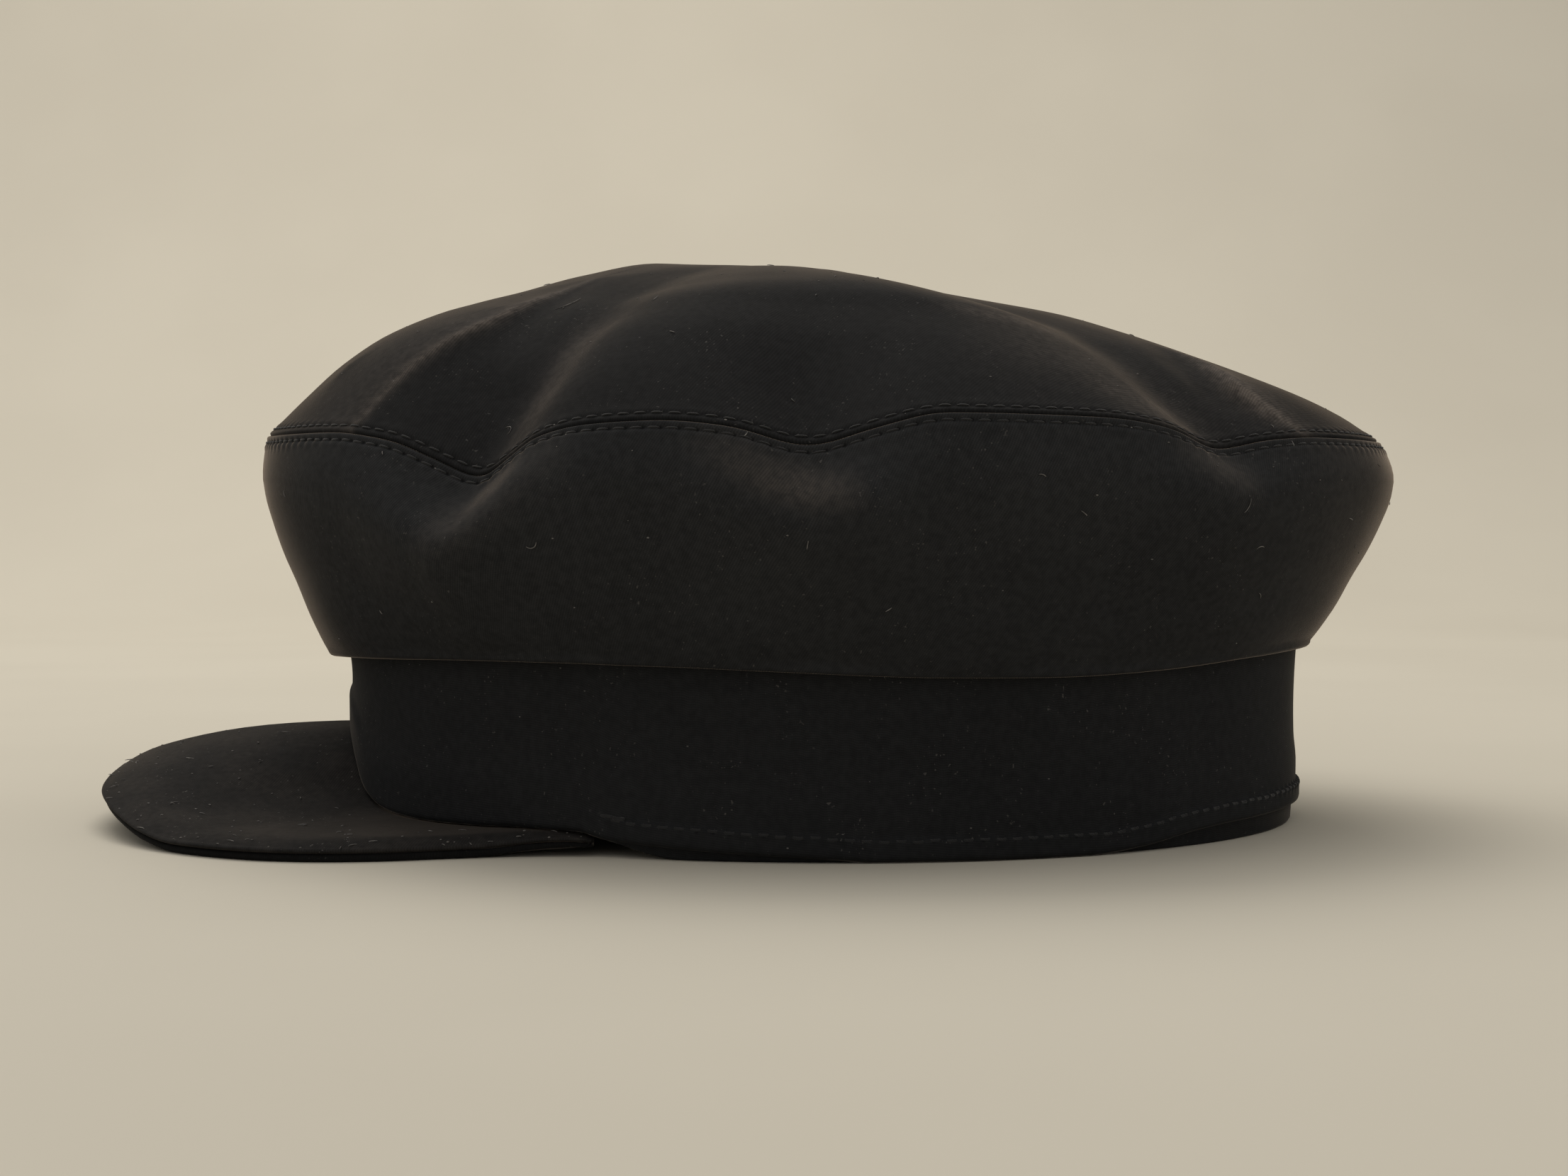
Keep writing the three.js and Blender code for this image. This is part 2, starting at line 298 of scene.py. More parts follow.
def finish_faces() -> None:
    """Turns the faces of the active piece outward and shades them smooth."""
    bpy.ops.object.mode_set(mode="EDIT")
    bpy.ops.mesh.select_all(action="SELECT")
    bpy.ops.mesh.normals_make_consistent(inside=False)
    bpy.ops.object.mode_set(mode="OBJECT")
    bpy.ops.object.shade_smooth()


class Ends(Enum):
    """How the two ends of a sleeve are finished."""

    MEET = "meet"
    CAPPED = "capped"


@dataclass
class Skin:
    """The outer surface of a cloth piece, kept so that thread and lint can lie on it."""

    points: Array
    normals: Array

    def nearest(self, point: Sequence[float]) -> tuple[int, int]:
        """The row and column nearest to a point given in millimetres on the oval's axes."""
        gaps = np.linalg.norm(self.points - np.array(point), axis=2)
        row, column = np.unravel_index(gaps.argmin(), gaps.shape)
        return int(row), int(column)

    def rail(self, row: int) -> "Rail":
        """A line round the cap along one of the skin's rows, a little smoothed."""
        points = self.points[row]
        smooth = (np.roll(points, 1, axis=0) + np.roll(points, -1, axis=0) + points) / 3
        return Rail(smooth, self.normals[row])


@dataclass
class Sleeve:
    """A tube drawn from one circle, row by row, whose vertices are then laid over the cap."""

    name: str
    around: int
    rows: int
    ends: Ends = Ends.MEET

    def draw(self) -> bpy.types.Object:
        """Draws the plain tube, with rows one unit apart."""
        bpy.ops.object.select_all(action="DESELECT")
        bpy.ops.mesh.primitive_circle_add(vertices=self.around, radius=1.0, fill_type="NOTHING")
        piece = bpy.context.active_object
        piece.name = self.name
        bpy.ops.object.mode_set(mode="EDIT")
        bpy.ops.mesh.select_all(action="SELECT")
        for _ in range(self.rows - 1):
            bpy.ops.mesh.extrude_edges_move(TRANSFORM_OT_translate={"value": (0.0, 0.0, 1.0)})
        bpy.ops.object.mode_set(mode="OBJECT")
        return piece

    def lay(
        self, points: Array, cloth: Array, wear_and_sheen: Array | float = 0.0, sewn: Array | float = 1.0,
    ) -> bpy.types.Object:
        """Builds the tube and lays it over the given points.

        Args:
            points: the place of each vertex on the oval's axes, as rows by around by 3.
            cloth: where each vertex lies on the flat cloth in millimetres, as rows by around + 1
                by 2, with the first column repeated one length further on.
            wear_and_sheen: how worn the cloth is at each vertex, with painted sheen where light grazes it,
                from 0 to 1, as rows by around.
            sewn: 1 where the piece's topstitching runs and 0 where it doesn't.

        Returns:
            The finished piece.
        """
        piece = self.draw()
        mesh = piece.data
        drawn = vertex_places(mesh)
        row = np.rint(drawn[:, 2]).astype(int)
        turn = np.arctan2(drawn[:, 1], drawn[:, 0]) / (2 * math.pi)
        column = np.rint(turn * self.around).astype(int) % self.around
        places = points[row, column]
        places[:, 2] = np.maximum(places[:, 2], TABLE_GAP)
        mesh.vertices.foreach_set("co", to_frame(places).ravel())
        self.mark_cloth(mesh, row, column, cloth)
        for name, values in ((WEAR_AND_SHEEN, wear_and_sheen), (SEWN, sewn)):
            spread = np.broadcast_to(np.asarray(values, float), points.shape[:2])[row, column]
            mesh.attributes.new(name, "FLOAT", "POINT").data.foreach_set("value", spread)
        bpy.ops.object.mode_set(mode="EDIT")
        if self.ends is Ends.CAPPED:
            self.cap_ends()
        bpy.ops.mesh.select_all(action="SELECT")
        bpy.ops.mesh.remove_doubles(threshold=MERGE_GAP)
        finish_faces()
        return piece

    def mark_cloth(self, mesh: bpy.types.Mesh, row: Array, column: Array, cloth: Array) -> None:
        """Writes where each corner lies on the flat cloth into the piece's UV map, in metres.

        Args:
            mesh: the tube's mesh.
            row: the row of each vertex.
            column: the column of each vertex.
            cloth: where each vertex lies on the flat cloth, as for lay.
        """
        corners = np.empty(len(mesh.loops), int)
        mesh.loops.foreach_get("vertex_index", corners)
        corners = corners.reshape(-1, 4)
        turns = column[corners]
        torn = turns.max(axis=1) - turns.min(axis=1) > self.around // 2
        turns = np.where(torn[:, None] & (turns < self.around // 2), turns + self.around, turns)
        layer = mesh.uv_layers.new(name=CLOTH_MAP)
        layer.data.foreach_set("uv", (cloth[row[corners], turns] * MM).ravel())

    def cap_ends(self) -> None:
        """Closes both ends of the tube."""
        bpy.ops.mesh.select_mode(type="EDGE")
        bpy.ops.mesh.select_all(action="DESELECT")
        bpy.ops.mesh.select_non_manifold()
        bpy.ops.mesh.fill()
        bpy.ops.mesh.select_mode(type="VERT")


@dataclass
class Rail:
    """A line on the cloth for thread to follow, with evenly spaced columns."""

    points: Array
    normals: Array

    def frame_at(self, columns: Array) -> tuple[Array, Array, Array, Array]:
        """The line's place, its direction, the cloth's outward side and the way across.

        Args:
            columns: where along the rail, counted in columns.

        Returns:
            The four, with one row for each column asked for.
        """
        ahead = unit(np.roll(self.points, -1, axis=0) - np.roll(self.points, 1, axis=0))
        along = unit(self.between(ahead, columns))
        up = unit(self.between(self.normals, columns))
        return self.between(self.points, columns), along, up, unit(np.cross(up, along))

    def between(self, values: Array, columns: Array) -> Array:
        """Values at columns that needn't be whole, from the whole ones on either side.

        Args:
            values: one row for each whole column.
            columns: where to read them.

        Returns:
            One row for each place.
        """
        low = np.floor(columns).astype(int)
        share = (columns - low)[:, None]
        return lerp(values[low % len(values)], values[(low + 1) % len(values)], share)


# How far each step of a stitch's end reaches, and what it leaves of the thread's width
THREAD_ENDS = ((0.17, 0.88), (0.09, 0.6), (0.04, 0.35))


@dataclass
class StitchRow:
    """A row of topstitching: one stitch is modelled and repeated along a rail."""

    name: str
    pitch: float
    length: float
    width: float
    height: float
    columns_per_stitch: int
    sides: int = 6
    spacing: float = 2.0
    slant: float = 0.12
    middle: float = 0.55
    dive: float = 1.9
    dive_power: float = 2.4

    def one_stitch(self) -> bpy.types.Object:
        """Models one stitch along X at the origin, a short thread whose ends dive into the cloth."""
        bpy.ops.object.select_all(action="DESELECT")
        bpy.ops.mesh.primitive_cylinder_add(
            vertices=self.sides, radius=0.5, depth=0.4, rotation=(0, math.pi / 2, 0)
        )
        stitch = bpy.context.active_object
        stitch.name = self.name
        bpy.ops.object.transform_apply(location=False, rotation=True, scale=False)
        for side in (1, -1):
            for reach, shrink in THREAD_ENDS:
                self.select_end(stitch, side)
                bpy.ops.object.mode_set(mode="EDIT")
                bpy.ops.mesh.extrude_region_move(
                    TRANSFORM_OT_translate={"value": (side * reach, 0.0, 0.0)}
                )
                bpy.ops.transform.resize(value=(1.0, shrink, shrink))
                bpy.ops.object.mode_set(mode="OBJECT")
        return stitch

    def select_end(self, stitch: bpy.types.Object, side: int) -> None:
        """Selects the flat face at one end of the stitch.

        Args:
            stitch: the stitch.
            side: 1 for the end at positive X, -1 for the other.
        """
        bpy.ops.object.mode_set(mode="EDIT")
        bpy.ops.mesh.select_mode(type="FACE")
        bpy.ops.mesh.select_all(action="DESELECT")
        bpy.ops.object.mode_set(mode="OBJECT")
        end = max(stitch.data.polygons, key=lambda face: side * face.center.x)
        end.select = True

    def sew(self, rail: Rail, first: int, count: int, wander: float = 0.0) -> bpy.types.Object:
        """Repeats the stitch along a rail.

        Args:
            rail: the line to follow.
            first: the stitch number at which the row starts, counted from column 0.
            count: how many stitches the row has.
            wander: how far stitches stray sideways, in millimetres.

        Returns:
            The row as one piece.
        """
        row = self.one_stitch()
        copies = row.modifiers.new("repeat", "ARRAY")
        copies.count = count
        copies.use_relative_offset = False
        copies.use_constant_offset = True
        copies.constant_offset_displace = (self.spacing, 0.0, 0.0)
        bpy.ops.object.modifier_apply(modifier=copies.name)
        x, y, z = vertex_places(row.data).T
        number = np.rint(x / self.spacing)
        along = x - self.spacing * number
        draw = np.random.default_rng(len(self.name) + count)
        stray = draw.uniform(-wander, wander, count)[number.astype(int)]
        slant = draw.uniform(-self.slant, self.slant, count)[number.astype(int)]
        columns = (first + number + along * self.length / self.pitch) * self.columns_per_stitch
        point, _, up, across = rail.frame_at(columns)
        arch = self.height * (self.middle - self.dive * np.abs(along) ** self.dive_power)
        lift = arch + z * self.height
        aside = y * self.width + stray + slant * along
        placed = point + up * lift[:, None] + across * aside[:, None]
        row.data.vertices.foreach_set("co", to_frame(placed).ravel())
        finish_faces()
        return row


# Shader graphs

class Wire:
    """One output of a shader node, with the sums that are written on it."""

    def __init__(self, graph: "Graph", socket: bpy.types.NodeSocket) -> None:
        """Wraps a socket of a graph."""
        self.graph = graph
        self.socket = socket

    def sum(self, operation: str, *values: object) -> "Wire":
        """Adds a Math node that works on this wire and the given values."""
        inputs = dict(enumerate((self, *values)))
        return self.graph.node("ShaderNodeMath", {"operation": operation}, inputs)

    def __add__(self, other: object) -> "Wire":
        """This wire plus another value."""
        return self.sum("ADD", other)

    __radd__ = __add__

    def __sub__(self, other: object) -> "Wire":
        """This wire less another value."""
        return self.sum("SUBTRACT", other)

    def __rsub__(self, other: float) -> "Wire":
        """A number less this wire."""
        return self.graph.node("ShaderNodeMath", {"operation": "SUBTRACT"}, {0: other, 1: self})

    def __mul__(self, other: object) -> "Wire":
        """This wire times another value."""
        return self.sum("MULTIPLY", other)

    __rmul__ = __mul__

    def __truediv__(self, other: object) -> "Wire":
        """This wire divided by another value."""
        return self.sum("DIVIDE", other)

    def __pow__(self, other: object) -> "Wire":
        """This wire raised to a power."""
        return self.sum("POWER", other)

    def fraction(self) -> "Wire":
        """What is left after the whole number."""
        return self.sum("FRACT")

    def size(self) -> "Wire":
        """The value without its sign."""
        return self.sum("ABSOLUTE")

    def wave(self) -> "Wire":
        """A wave from 0 to 1 that repeats whenever this wire rises by 1."""
        return (self * (2 * math.pi)).sum("SINE") * 0.5 + 0.5

    def within(self, low: float, high: float) -> "Wire":
        """0 below low, 1 above high, with an eased rise between."""
        settings = {"interpolation_type": "SMOOTHSTEP"}
        return self.graph.node("ShaderNodeMapRange", settings, {0: self, 1: low, 2: high})


class Graph:
    """A material's node graph, with one method that makes every node."""

    def __init__(self, name: str) -> None:
        """Starts a material that has one Principled shader."""
        self.material = bpy.data.materials.new(name)
        self.material.use_nodes = True
        self.tree = self.material.node_tree
        self.tree.nodes.clear()
        self.shader = self.tree.nodes.new("ShaderNodeBsdfPrincipled")
        output = self.tree.nodes.new("ShaderNodeOutputMaterial")
        self.tree.links.new(self.shader.outputs[0], output.inputs[0])

    def node(
        self, kind: str, settings: dict[str, object], inputs: dict[object, object], output: object = 0
    ) -> Wire:
        """Makes a node, sets it up and feeds it.

        Args:
            kind: the node's type.
            settings: the node's own settings, such as a Math node's operation.
            inputs: values or wires by the name or number of their socket.
            output: the name or number of the output that is wanted.

        Returns:
            The output as a wire.
        """
        made = self.tree.nodes.new(kind)
        for name, value in settings.items():
            setattr(made, name, value)
        for name, value in inputs.items():
            self.feed(made.inputs[name], value)
        return Wire(self, made.outputs[output])

    def feed(self, socket: bpy.types.NodeSocket, value: object) -> None:
        """Links a wire to a socket, or sets the socket to a plain value."""
        if isinstance(value, Wire):
            self.tree.links.new(value.socket, socket)
        else:
            socket.default_value = value

    def set(self, name: str, value: object) -> None:
        """Feeds one socket of the Principled shader."""
        self.feed(self.shader.inputs[name], value)

    def mix(self, share: Wire, first: object, second: object) -> Wire:
        """Blends two colours."""
        inputs = {0: share, 6: first, 7: second}
        return self.node("ShaderNodeMix", {"data_type": "RGBA"}, inputs, 2)

    def noise(self, place: Wire, scale: float, detail: float = 3.0, roughness: float = 0.5) -> Wire:
        """A cloudy value about 0.5 with features 1 / scale metres across."""
        inputs = {"Vector": place, "Scale": scale, "Detail": detail, "Roughness": roughness}
        return self.node("ShaderNodeTexNoise", {}, inputs, 0)

    def apart(self, place: Wire) -> tuple[Wire, Wire, Wire]:
        """The three parts of a place."""
        split = self.node("ShaderNodeSeparateXYZ", {}, {0: place})
        return tuple(Wire(self, socket) for socket in split.socket.node.outputs)

    def object_place(self) -> Wire:
        """The place in the piece's own axes, in metres."""
        return self.node("ShaderNodeTexCoord", {}, {}, "Object")

    def mask(self, name: str) -> Wire:
        """A value from 0 to 1 that the piece carries at its vertices."""
        return self.node("ShaderNodeAttribute", {"attribute_name": name}, {}, "Fac")

    def cloth_place(self) -> Wire:
        """The place on the flat cloth, in metres."""
        return self.node("ShaderNodeUVMap", {"uv_map": CLOTH_MAP}, {})


Colour = tuple[float, float, float, float]
SHADE: Colour = (0.003, 0.003, 0.0031, 1.0)
DUST: Colour = (0.10, 0.095, 0.09, 1.0)


class Lay(Enum):
    """Which way a cloth's weave is laid on its piece."""

    PLAN = "seen from above"
    ROUND = "round the piece"


@dataclass(frozen=True)
class Needlework:
    """Where thread pulls the cloth down, in metres on the flat cloth."""

    pitch: float
    row: float
    seam: bool
    shade: float = 0.6
    hole: float = 0.6 * MM
    groove: float = 0.3 * MM


@dataclass(frozen=True)
class ClothFinish:
    """Matt black cloth with a fine diagonal rib, a warm nap and dust caught in it."""

    name: str
    lay: Lay
    dark: Colour
    worn: Colour
    rib: float
    slope: float
    # The paler colour of worn cloth, also used as painted sheen where light grazes the cloth
    bare_and_sheen: Colour = (0.072, 0.062, 0.054, 1.0)
    rib_depth: float = 0.05 * MM
    nap: float = 0.2
    nap_tint: Colour = (1.0, 0.88, 0.76, 1.0)
    dust: float = 0.5
    needlework: Needlework | None = None
    cloud_scale: float = 34.0
    grain_scale: float = 620.0
    fluff_scale: float = 1100.0
    speck_scale: float = 1500.0
    patch_scale: float = 95.0
    roughness: float = 0.78
    specular: float = 0.08
    nap_roughness: float = 0.2
    bump: float = 0.55

    def material(self) -> bpy.types.Material:
        """Builds the cloth's material."""
        graph = Graph(self.name)
        place = graph.object_place()
        rib = self.ribs(graph)
        cloud = graph.noise(place, self.cloud_scale, 3.0, 0.5).within(0.3, 0.7)
        grain = graph.noise(place, self.grain_scale, 2.0, 0.6).within(0.2, 0.8)
        fluff = graph.noise(place, self.fluff_scale, 2.0, 0.7)
        colour = graph.mix(cloud * 0.22 + grain * 0.5 + fluff * 0.4 - 0.1, self.dark, self.worn)
        # Paler where the mask says: partly wear, partly painted sheen and highlights
        faded_and_sheen = graph.mask(WEAR_AND_SHEEN) * (0.5 + grain * 0.8)
        colour = graph.mix(faded_and_sheen, colour, self.bare_and_sheen)
        colour = graph.mix((1 - rib) * 0.4, colour, SHADE)
        specks = graph.noise(place, self.speck_scale, 1.0).within(0.69, 0.76)
        caught = graph.noise(place, self.patch_scale, 2.0).within(0.45, 0.62)
        colour = graph.mix(specks * caught * self.dust, colour, DUST)
        if self.needlework:
            colour = graph.mix(self.pulled(graph) * self.needlework.shade, colour, SHADE)
        graph.set("Base Color", colour)
        graph.set("Roughness", self.roughness + fluff * 0.2)
        graph.set("Specular IOR Level", self.specular)
        graph.set("Sheen Weight", self.nap)
        graph.set("Sheen Roughness", self.nap_roughness)
        graph.set("Sheen Tint", self.nap_tint)
        height = rib * 0.7 + fluff * 0.6
        bump = {"Strength": self.bump, "Distance": self.rib_depth, "Height": height}
        graph.set("Normal", graph.node("ShaderNodeBump", {}, bump))
        return graph.material

    def ribs(self, graph: Graph) -> Wire:
        """The weave's diagonal ribs, 1 on a rib and 0 between two."""
        place = graph.object_place() if self.lay is Lay.PLAN else graph.cloth_place()
        across, along, _ = graph.apart(place)
        wobble = graph.noise(graph.object_place(), 160.0, 2.0) * (1.2 * self.rib)
        turn = math.radians(self.slope)
        step = across * math.sin(turn) + along * math.cos(turn) + wobble
        thread = across * math.cos(turn) - along * math.sin(turn)
        rib = (step / self.rib).wave()
        cross = (thread / (self.rib * 0.8)).wave()
        return rib * 0.75 + cross * 0.25

    def pulled(self, graph: Graph) -> Wire:
        """1 in the needle holes and in the seam's groove, where little light gets in."""
        work = self.needlework
        along, away, _ = graph.apart(graph.cloth_place())
        step = ((along / work.pitch).fraction() - 0.5) * work.pitch
        reach = (step ** 2 + (away - work.row) ** 2) ** 0.5
        hole = (1 - reach.within(0.1 * work.hole, work.hole)) * graph.mask(SEWN)
        if not work.seam:
            return hole
        groove = 1 - away.size().within(0.2 * work.groove, work.groove)
        return hole.sum("MAXIMUM", groove)


@dataclass(frozen=True)
class ThreadFinish:
    """Black sewing thread, twisted from two strands, a little lighter than the cloth."""

    name: str = "black_thread"
    dark: Colour = (0.0115, 0.0116, 0.0120, 1.0)
    light: Colour = (0.0240, 0.0240, 0.0242, 1.0)
    twist: float = 0.35 * MM
    depth: float = 0.06 * MM

    def material(self) -> bpy.types.Material:
        """Builds the thread's material."""
        graph = Graph(self.name)
        place = graph.object_place()
        x, y, z = graph.apart(place)
        strand = ((x + y + z * 1.4) / self.twist).wave()
        fuzz = graph.noise(place, 2600.0, 2.0)
        graph.set("Base Color", graph.mix(strand * 0.6 + fuzz * 0.4, self.dark, self.light))
        graph.set("Roughness", 0.6 + fuzz * 0.25)
        graph.set("Specular IOR Level", 0.15)
        graph.set("Sheen Weight", 0.15)
        bump = {"Strength": 0.5, "Distance": self.depth, "Height": strand}
        graph.set("Normal", graph.node("ShaderNodeBump", {}, bump))
        return graph.material


@dataclass(frozen=True)
class LintFinish:
    """Pale cotton lint."""

    name: str = "pale_lint"
    dark: Colour = (0.05, 0.048, 0.045, 1.0)
    light: Colour = (0.20, 0.19, 0.18, 1.0)

    def material(self) -> bpy.types.Material:
        """Builds the lint's material."""
        graph = Graph(self.name)
        cloud = graph.noise(graph.object_place(), 700.0, 2.0)
        graph.set("Base Color", graph.mix(cloud.within(0.3, 0.7), self.dark, self.light))
        graph.set("Roughness", 0.75 + cloud * 0.2)
        return graph.material


@dataclass(frozen=True)
class PaperFinish:
    """The pale warm paper that the cap lies on."""

    name: str = "pale_paper"
    light: Colour = (0.62, 0.583, 0.496, 1.0)
    dark: Colour = (0.60, 0.563, 0.478, 1.0)

    def material(self) -> bpy.types.Material:
        """Builds the paper's material."""
        graph = Graph(self.name)
        cloud = graph.noise(graph.object_place(), 5.0, 3.0)
        graph.set("Base Color", graph.mix(cloud.within(0.3, 0.7), self.light, self.dark))
        graph.set("Roughness", 0.82 + cloud * 0.1)
        graph.set("Specular IOR Level", 0.25)
        return graph.material


# The cap's cloths, dark and worn, with the needlework that shows on each

WARM_NAP: Colour = (1.0, 0.82, 0.66, 1.0)
UPPER_WORK = Needlework(pitch=3.3 * MM, row=1.65 * MM, seam=True, shade=0.3)
LOWER_WORK = replace(UPPER_WORK, shade=0.75)
HEM_WORK = Needlework(pitch=3.1 * MM, row=5.0 * MM, seam=False)
# The top and the side are one black cloth: the top's colours are painted darker and the side's lighter, to
# stand in for the stronger light on the top and the weaker light on the upright side
TOP_CLOTH = ClothFinish(
    "top_cloth", Lay.PLAN, (0.0095, 0.0097, 0.0102, 1.0), (0.0215, 0.0215, 0.0222, 1.0),
    bare_and_sheen=(0.125, 0.106, 0.092, 1.0), rib=0.5 * MM, slope=38.0, nap=0.25,
    nap_tint=(1.0, 0.80, 0.63, 1.0), needlework=UPPER_WORK,
)
# Painted light: colours lighter than the top's, for the upright side that takes less light
SIDE_CLOTH = ClothFinish(
    "side_cloth", Lay.ROUND, (0.0160, 0.0166, 0.0177, 1.0), (0.0370, 0.0380, 0.0398, 1.0),
    rib=0.48 * MM, slope=62.0, nap=0.6, nap_tint=WARM_NAP, needlework=LOWER_WORK,
)
BAND_CLOTH = ClothFinish(
    "band_cloth", Lay.ROUND, (0.0128, 0.0134, 0.0144, 1.0), (0.0260, 0.0268, 0.0283, 1.0),
    rib=0.43 * MM, slope=4.0, dust=0.6, needlework=HEM_WORK,
)
PEAK_CLOTH = ClothFinish(
    "peak_cloth", Lay.PLAN, (0.0128, 0.0124, 0.0124, 1.0), (0.0305, 0.0288, 0.0280, 1.0),
    rib=0.45 * MM, slope=20.0, nap=0.13, nap_tint=WARM_NAP, dust=1.0,
)
UNDER_CLOTH = ClothFinish(
    "under_cloth", Lay.PLAN, (0.0060, 0.0060, 0.0062, 1.0), (0.0115, 0.0114, 0.0116, 1.0),
    rib=0.45 * MM, slope=20.0, nap=0.15, dust=0.3,
)


def dress(piece: bpy.types.Object, material: bpy.types.Material, slot: str, *nodes: str) -> None:
    """Gives a piece its material, hangs it on the body and hides the frame's nodes that it stands for.

    Args:
        piece: the finished piece.
        material: its material.
        slot: not used.
        nodes: the frame's nodes that it replaces.
    """
    piece.data.materials.clear()
    piece.data.materials.append(material)
    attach(piece, BODY)
    if nodes:
        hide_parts(*nodes)
    faces = sum(len(face.vertices) - 2 for face in piece.data.polygons)
    log.info("%s: %d triangles", piece.name, faces)


# The crown

# The side panel by angle: its rim, its bulge, how full it is between the two, and its bottom fold
WALL_COLUMNS = ("angle", "rim_out", "rim_z", "bulge_out", "bulge_z", "fullness", "fold_out", "fold_z")
WALL_ROWS = (
    (0, 16.3, 80.8, 17.6, 71.5, 1.0, 3.6, 33.9),
    (20, 16.2, 80.1, 17.8, 71.2, 1.0, 3.4, 34.8),
    (36, 15.8, 79.8, 18.2, 70.0, 1.0, 3.0, 35.5),
    (44, 13.4, 77.9, 18.8, 65.0, 0.7, 2.9, 35.9),
    (49, 10.8, 74.3, 19.2, 60.5, 0.35, 2.8, 36.1),
    (54, 8.8, 70.8, 19.4, 57.0, 0.1, 2.8, 36.2),
    (58, 9.6, 74.3, 19.0, 60.0, 0.3, 2.8, 36.2),
    (62, 11.6, 78.0, 18.6, 66.0, 0.7, 2.7, 36.2),
    (68, 13.9, 80.1, 18.3, 69.5, 1.0, 2.6, 36.0),
    (75, 15.6, 80.6, 18.3, 70.5, 1.0, 2.6, 35.8),
    (81, 14.6, 79.5, 18.4, 67.0, 0.7, 2.6, 35.4),
    (88, 12.8, 76.0, 18.8, 62.0, 0.2, 2.6, 34.9),
    (94, 14.2, 79.2, 18.5, 66.5, 0.6, 2.6, 34.4),
    (100, 15.6, 81.9, 18.3, 70.5, 1.0, 2.6, 34.0),
    (115, 16.2, 81.3, 18.5, 70.5, 1.0, 2.6, 33.7),
    (122, 14.6, 79.8, 18.7, 68.5, 0.7, 2.4, 34.0),
    (130, 11.8, 76.1, 19.0, 66.0, 0.3, 2.2, 34.6),
    (136, 14.1, 78.0, 19.0, 68.0, 0.6, 2.1, 35.2),
    (143, 15.9, 78.8, 19.1, 70.0, 1.0, 2.0, 35.8),
    (160, 16.2, 78.9, 19.3, 70.8, 1.0, 1.9, 36.4),
    (180, 16.4, 79.3, 19.5, 71.0, 1.0, 1.8, 36.2),
    (205, 16.2, 79.2, 19.2, 70.6, 1.0, 1.9, 35.9),
    (232, 14.4, 77.4, 18.8, 67.5, 0.6, 2.2, 35.4),
    (255, 16.0, 80.2, 18.4, 70.4, 1.0, 2.5, 35.0),
    (278, 14.9, 79.0, 18.4, 67.4, 0.6, 2.6, 35.0),
    (300, 16.0, 80.4, 18.2, 70.4, 1.0, 2.7, 35.4),
    (320, 14.2, 78.0, 18.2, 67.6, 0.6, 2.9, 35.6),
    (340, 16.1, 80.3, 17.8, 71.0, 1.0, 3.4, 34.8),
)

# How far out the side panel is, by shares of the rise from its bottom fold to its bulge
FLARE_ROWS = (
    (0, 0), (0.08, 0.12), (0.17, 0.24), (0.25, 0.34), (0.42, 0.52),
    (0.58, 0.7), (0.75, 0.855), (0.9, 0.965), (1, 1),
)

# How far the top panel rises along five radii, by shares of the way out to the rim
TOP_ANGLES = (0, 45, 90, 135, 180)
TOP_ROWS = (
    (0, 1, 1, 1, 1, 1),
    (0.07, 1.015, 1.005, 0.995, 0.975, 0.965),
    (0.16, 1.035, 1, 0.97, 0.915, 0.895),
    (0.3, 1.055, 0.975, 0.925, 0.82, 0.81),
    (0.44, 0.97, 0.89, 0.87, 0.72, 0.705),
    (0.57, 0.84, 0.785, 0.8, 0.605, 0.56),
    (0.61, 0.805, 0.755, 0.767, 0.568, 0.512),
    (0.65, 0.77, 0.72, 0.722, 0.53, 0.463),
    (0.69, 0.735, 0.68, 0.652, 0.49, 0.415),
    (0.79, 0.605, 0.55, 0.482, 0.375, 0.305),
    (0.87, 0.425, 0.39, 0.315, 0.27, 0.215),
    (0.935, 0.22, 0.205, 0.165, 0.145, 0.13),
    (0.975, 0.085, 0.08, 0.066, 0.057, 0.05),
    (1, 0, 0, 0, 0, 0),
)


@dataclass(frozen=True)
class Line:
    """A line of points on a panel, drawn from the rim inward."""

    points: tuple[tuple[float, float], ...]

    def reach(self, flat: Array) -> tuple[Array, Array, Array]:
        """Measures from the line to each point of a panel.

        Args:
            flat: the two coordinates of each point.

        Returns:
            The distance, the place along the line counted in its own points, and a number that is
            positive on the line's left.
        """
        nearest = np.full(flat.shape[:-1], np.inf)
        along = np.zeros(flat.shape[:-1])
        side = np.ones(flat.shape[:-1])
        points = np.array(self.points, float)
        for number, (start, end) in enumerate(zip(points[:-1], points[1:])):
            step = end - start
            reach = flat[..., :2] - start
            t = np.clip(reach @ step / (step @ step), 0, 1)
            gap = reach - t[..., None] * step
            away = np.linalg.norm(gap, axis=-1)
            closer = away < nearest
            nearest = np.where(closer, away, nearest)
            along = np.where(closer, number + t, along)
            turn = step[0] * gap[..., 1] - step[1] * gap[..., 0]
            side = np.where(closer, turn, side)
        return nearest, along, side


@dataclass(frozen=True)
class Fold:
    """A fold pressed into a panel along a line, which falls away differently on its two sides."""

    line: Line
    lifts: tuple[float, ...]
    left: float
    right: float
    crest: float = 2.0
    power: float = 1.0

    def at(self, flat: Array) -> Array:
        """How far the fold lifts the cloth at each point of a panel."""
        away, along, side = self.line.reach(flat)
        width = np.where(side > 0, self.left, self.right)
        rounded = np.sqrt(away ** 2 + self.crest ** 2) - self.crest
        lift = np.interp(along, np.arange(len(self.lifts)), self.lifts)
        return lift * np.exp(-((rounded / width) ** self.power))


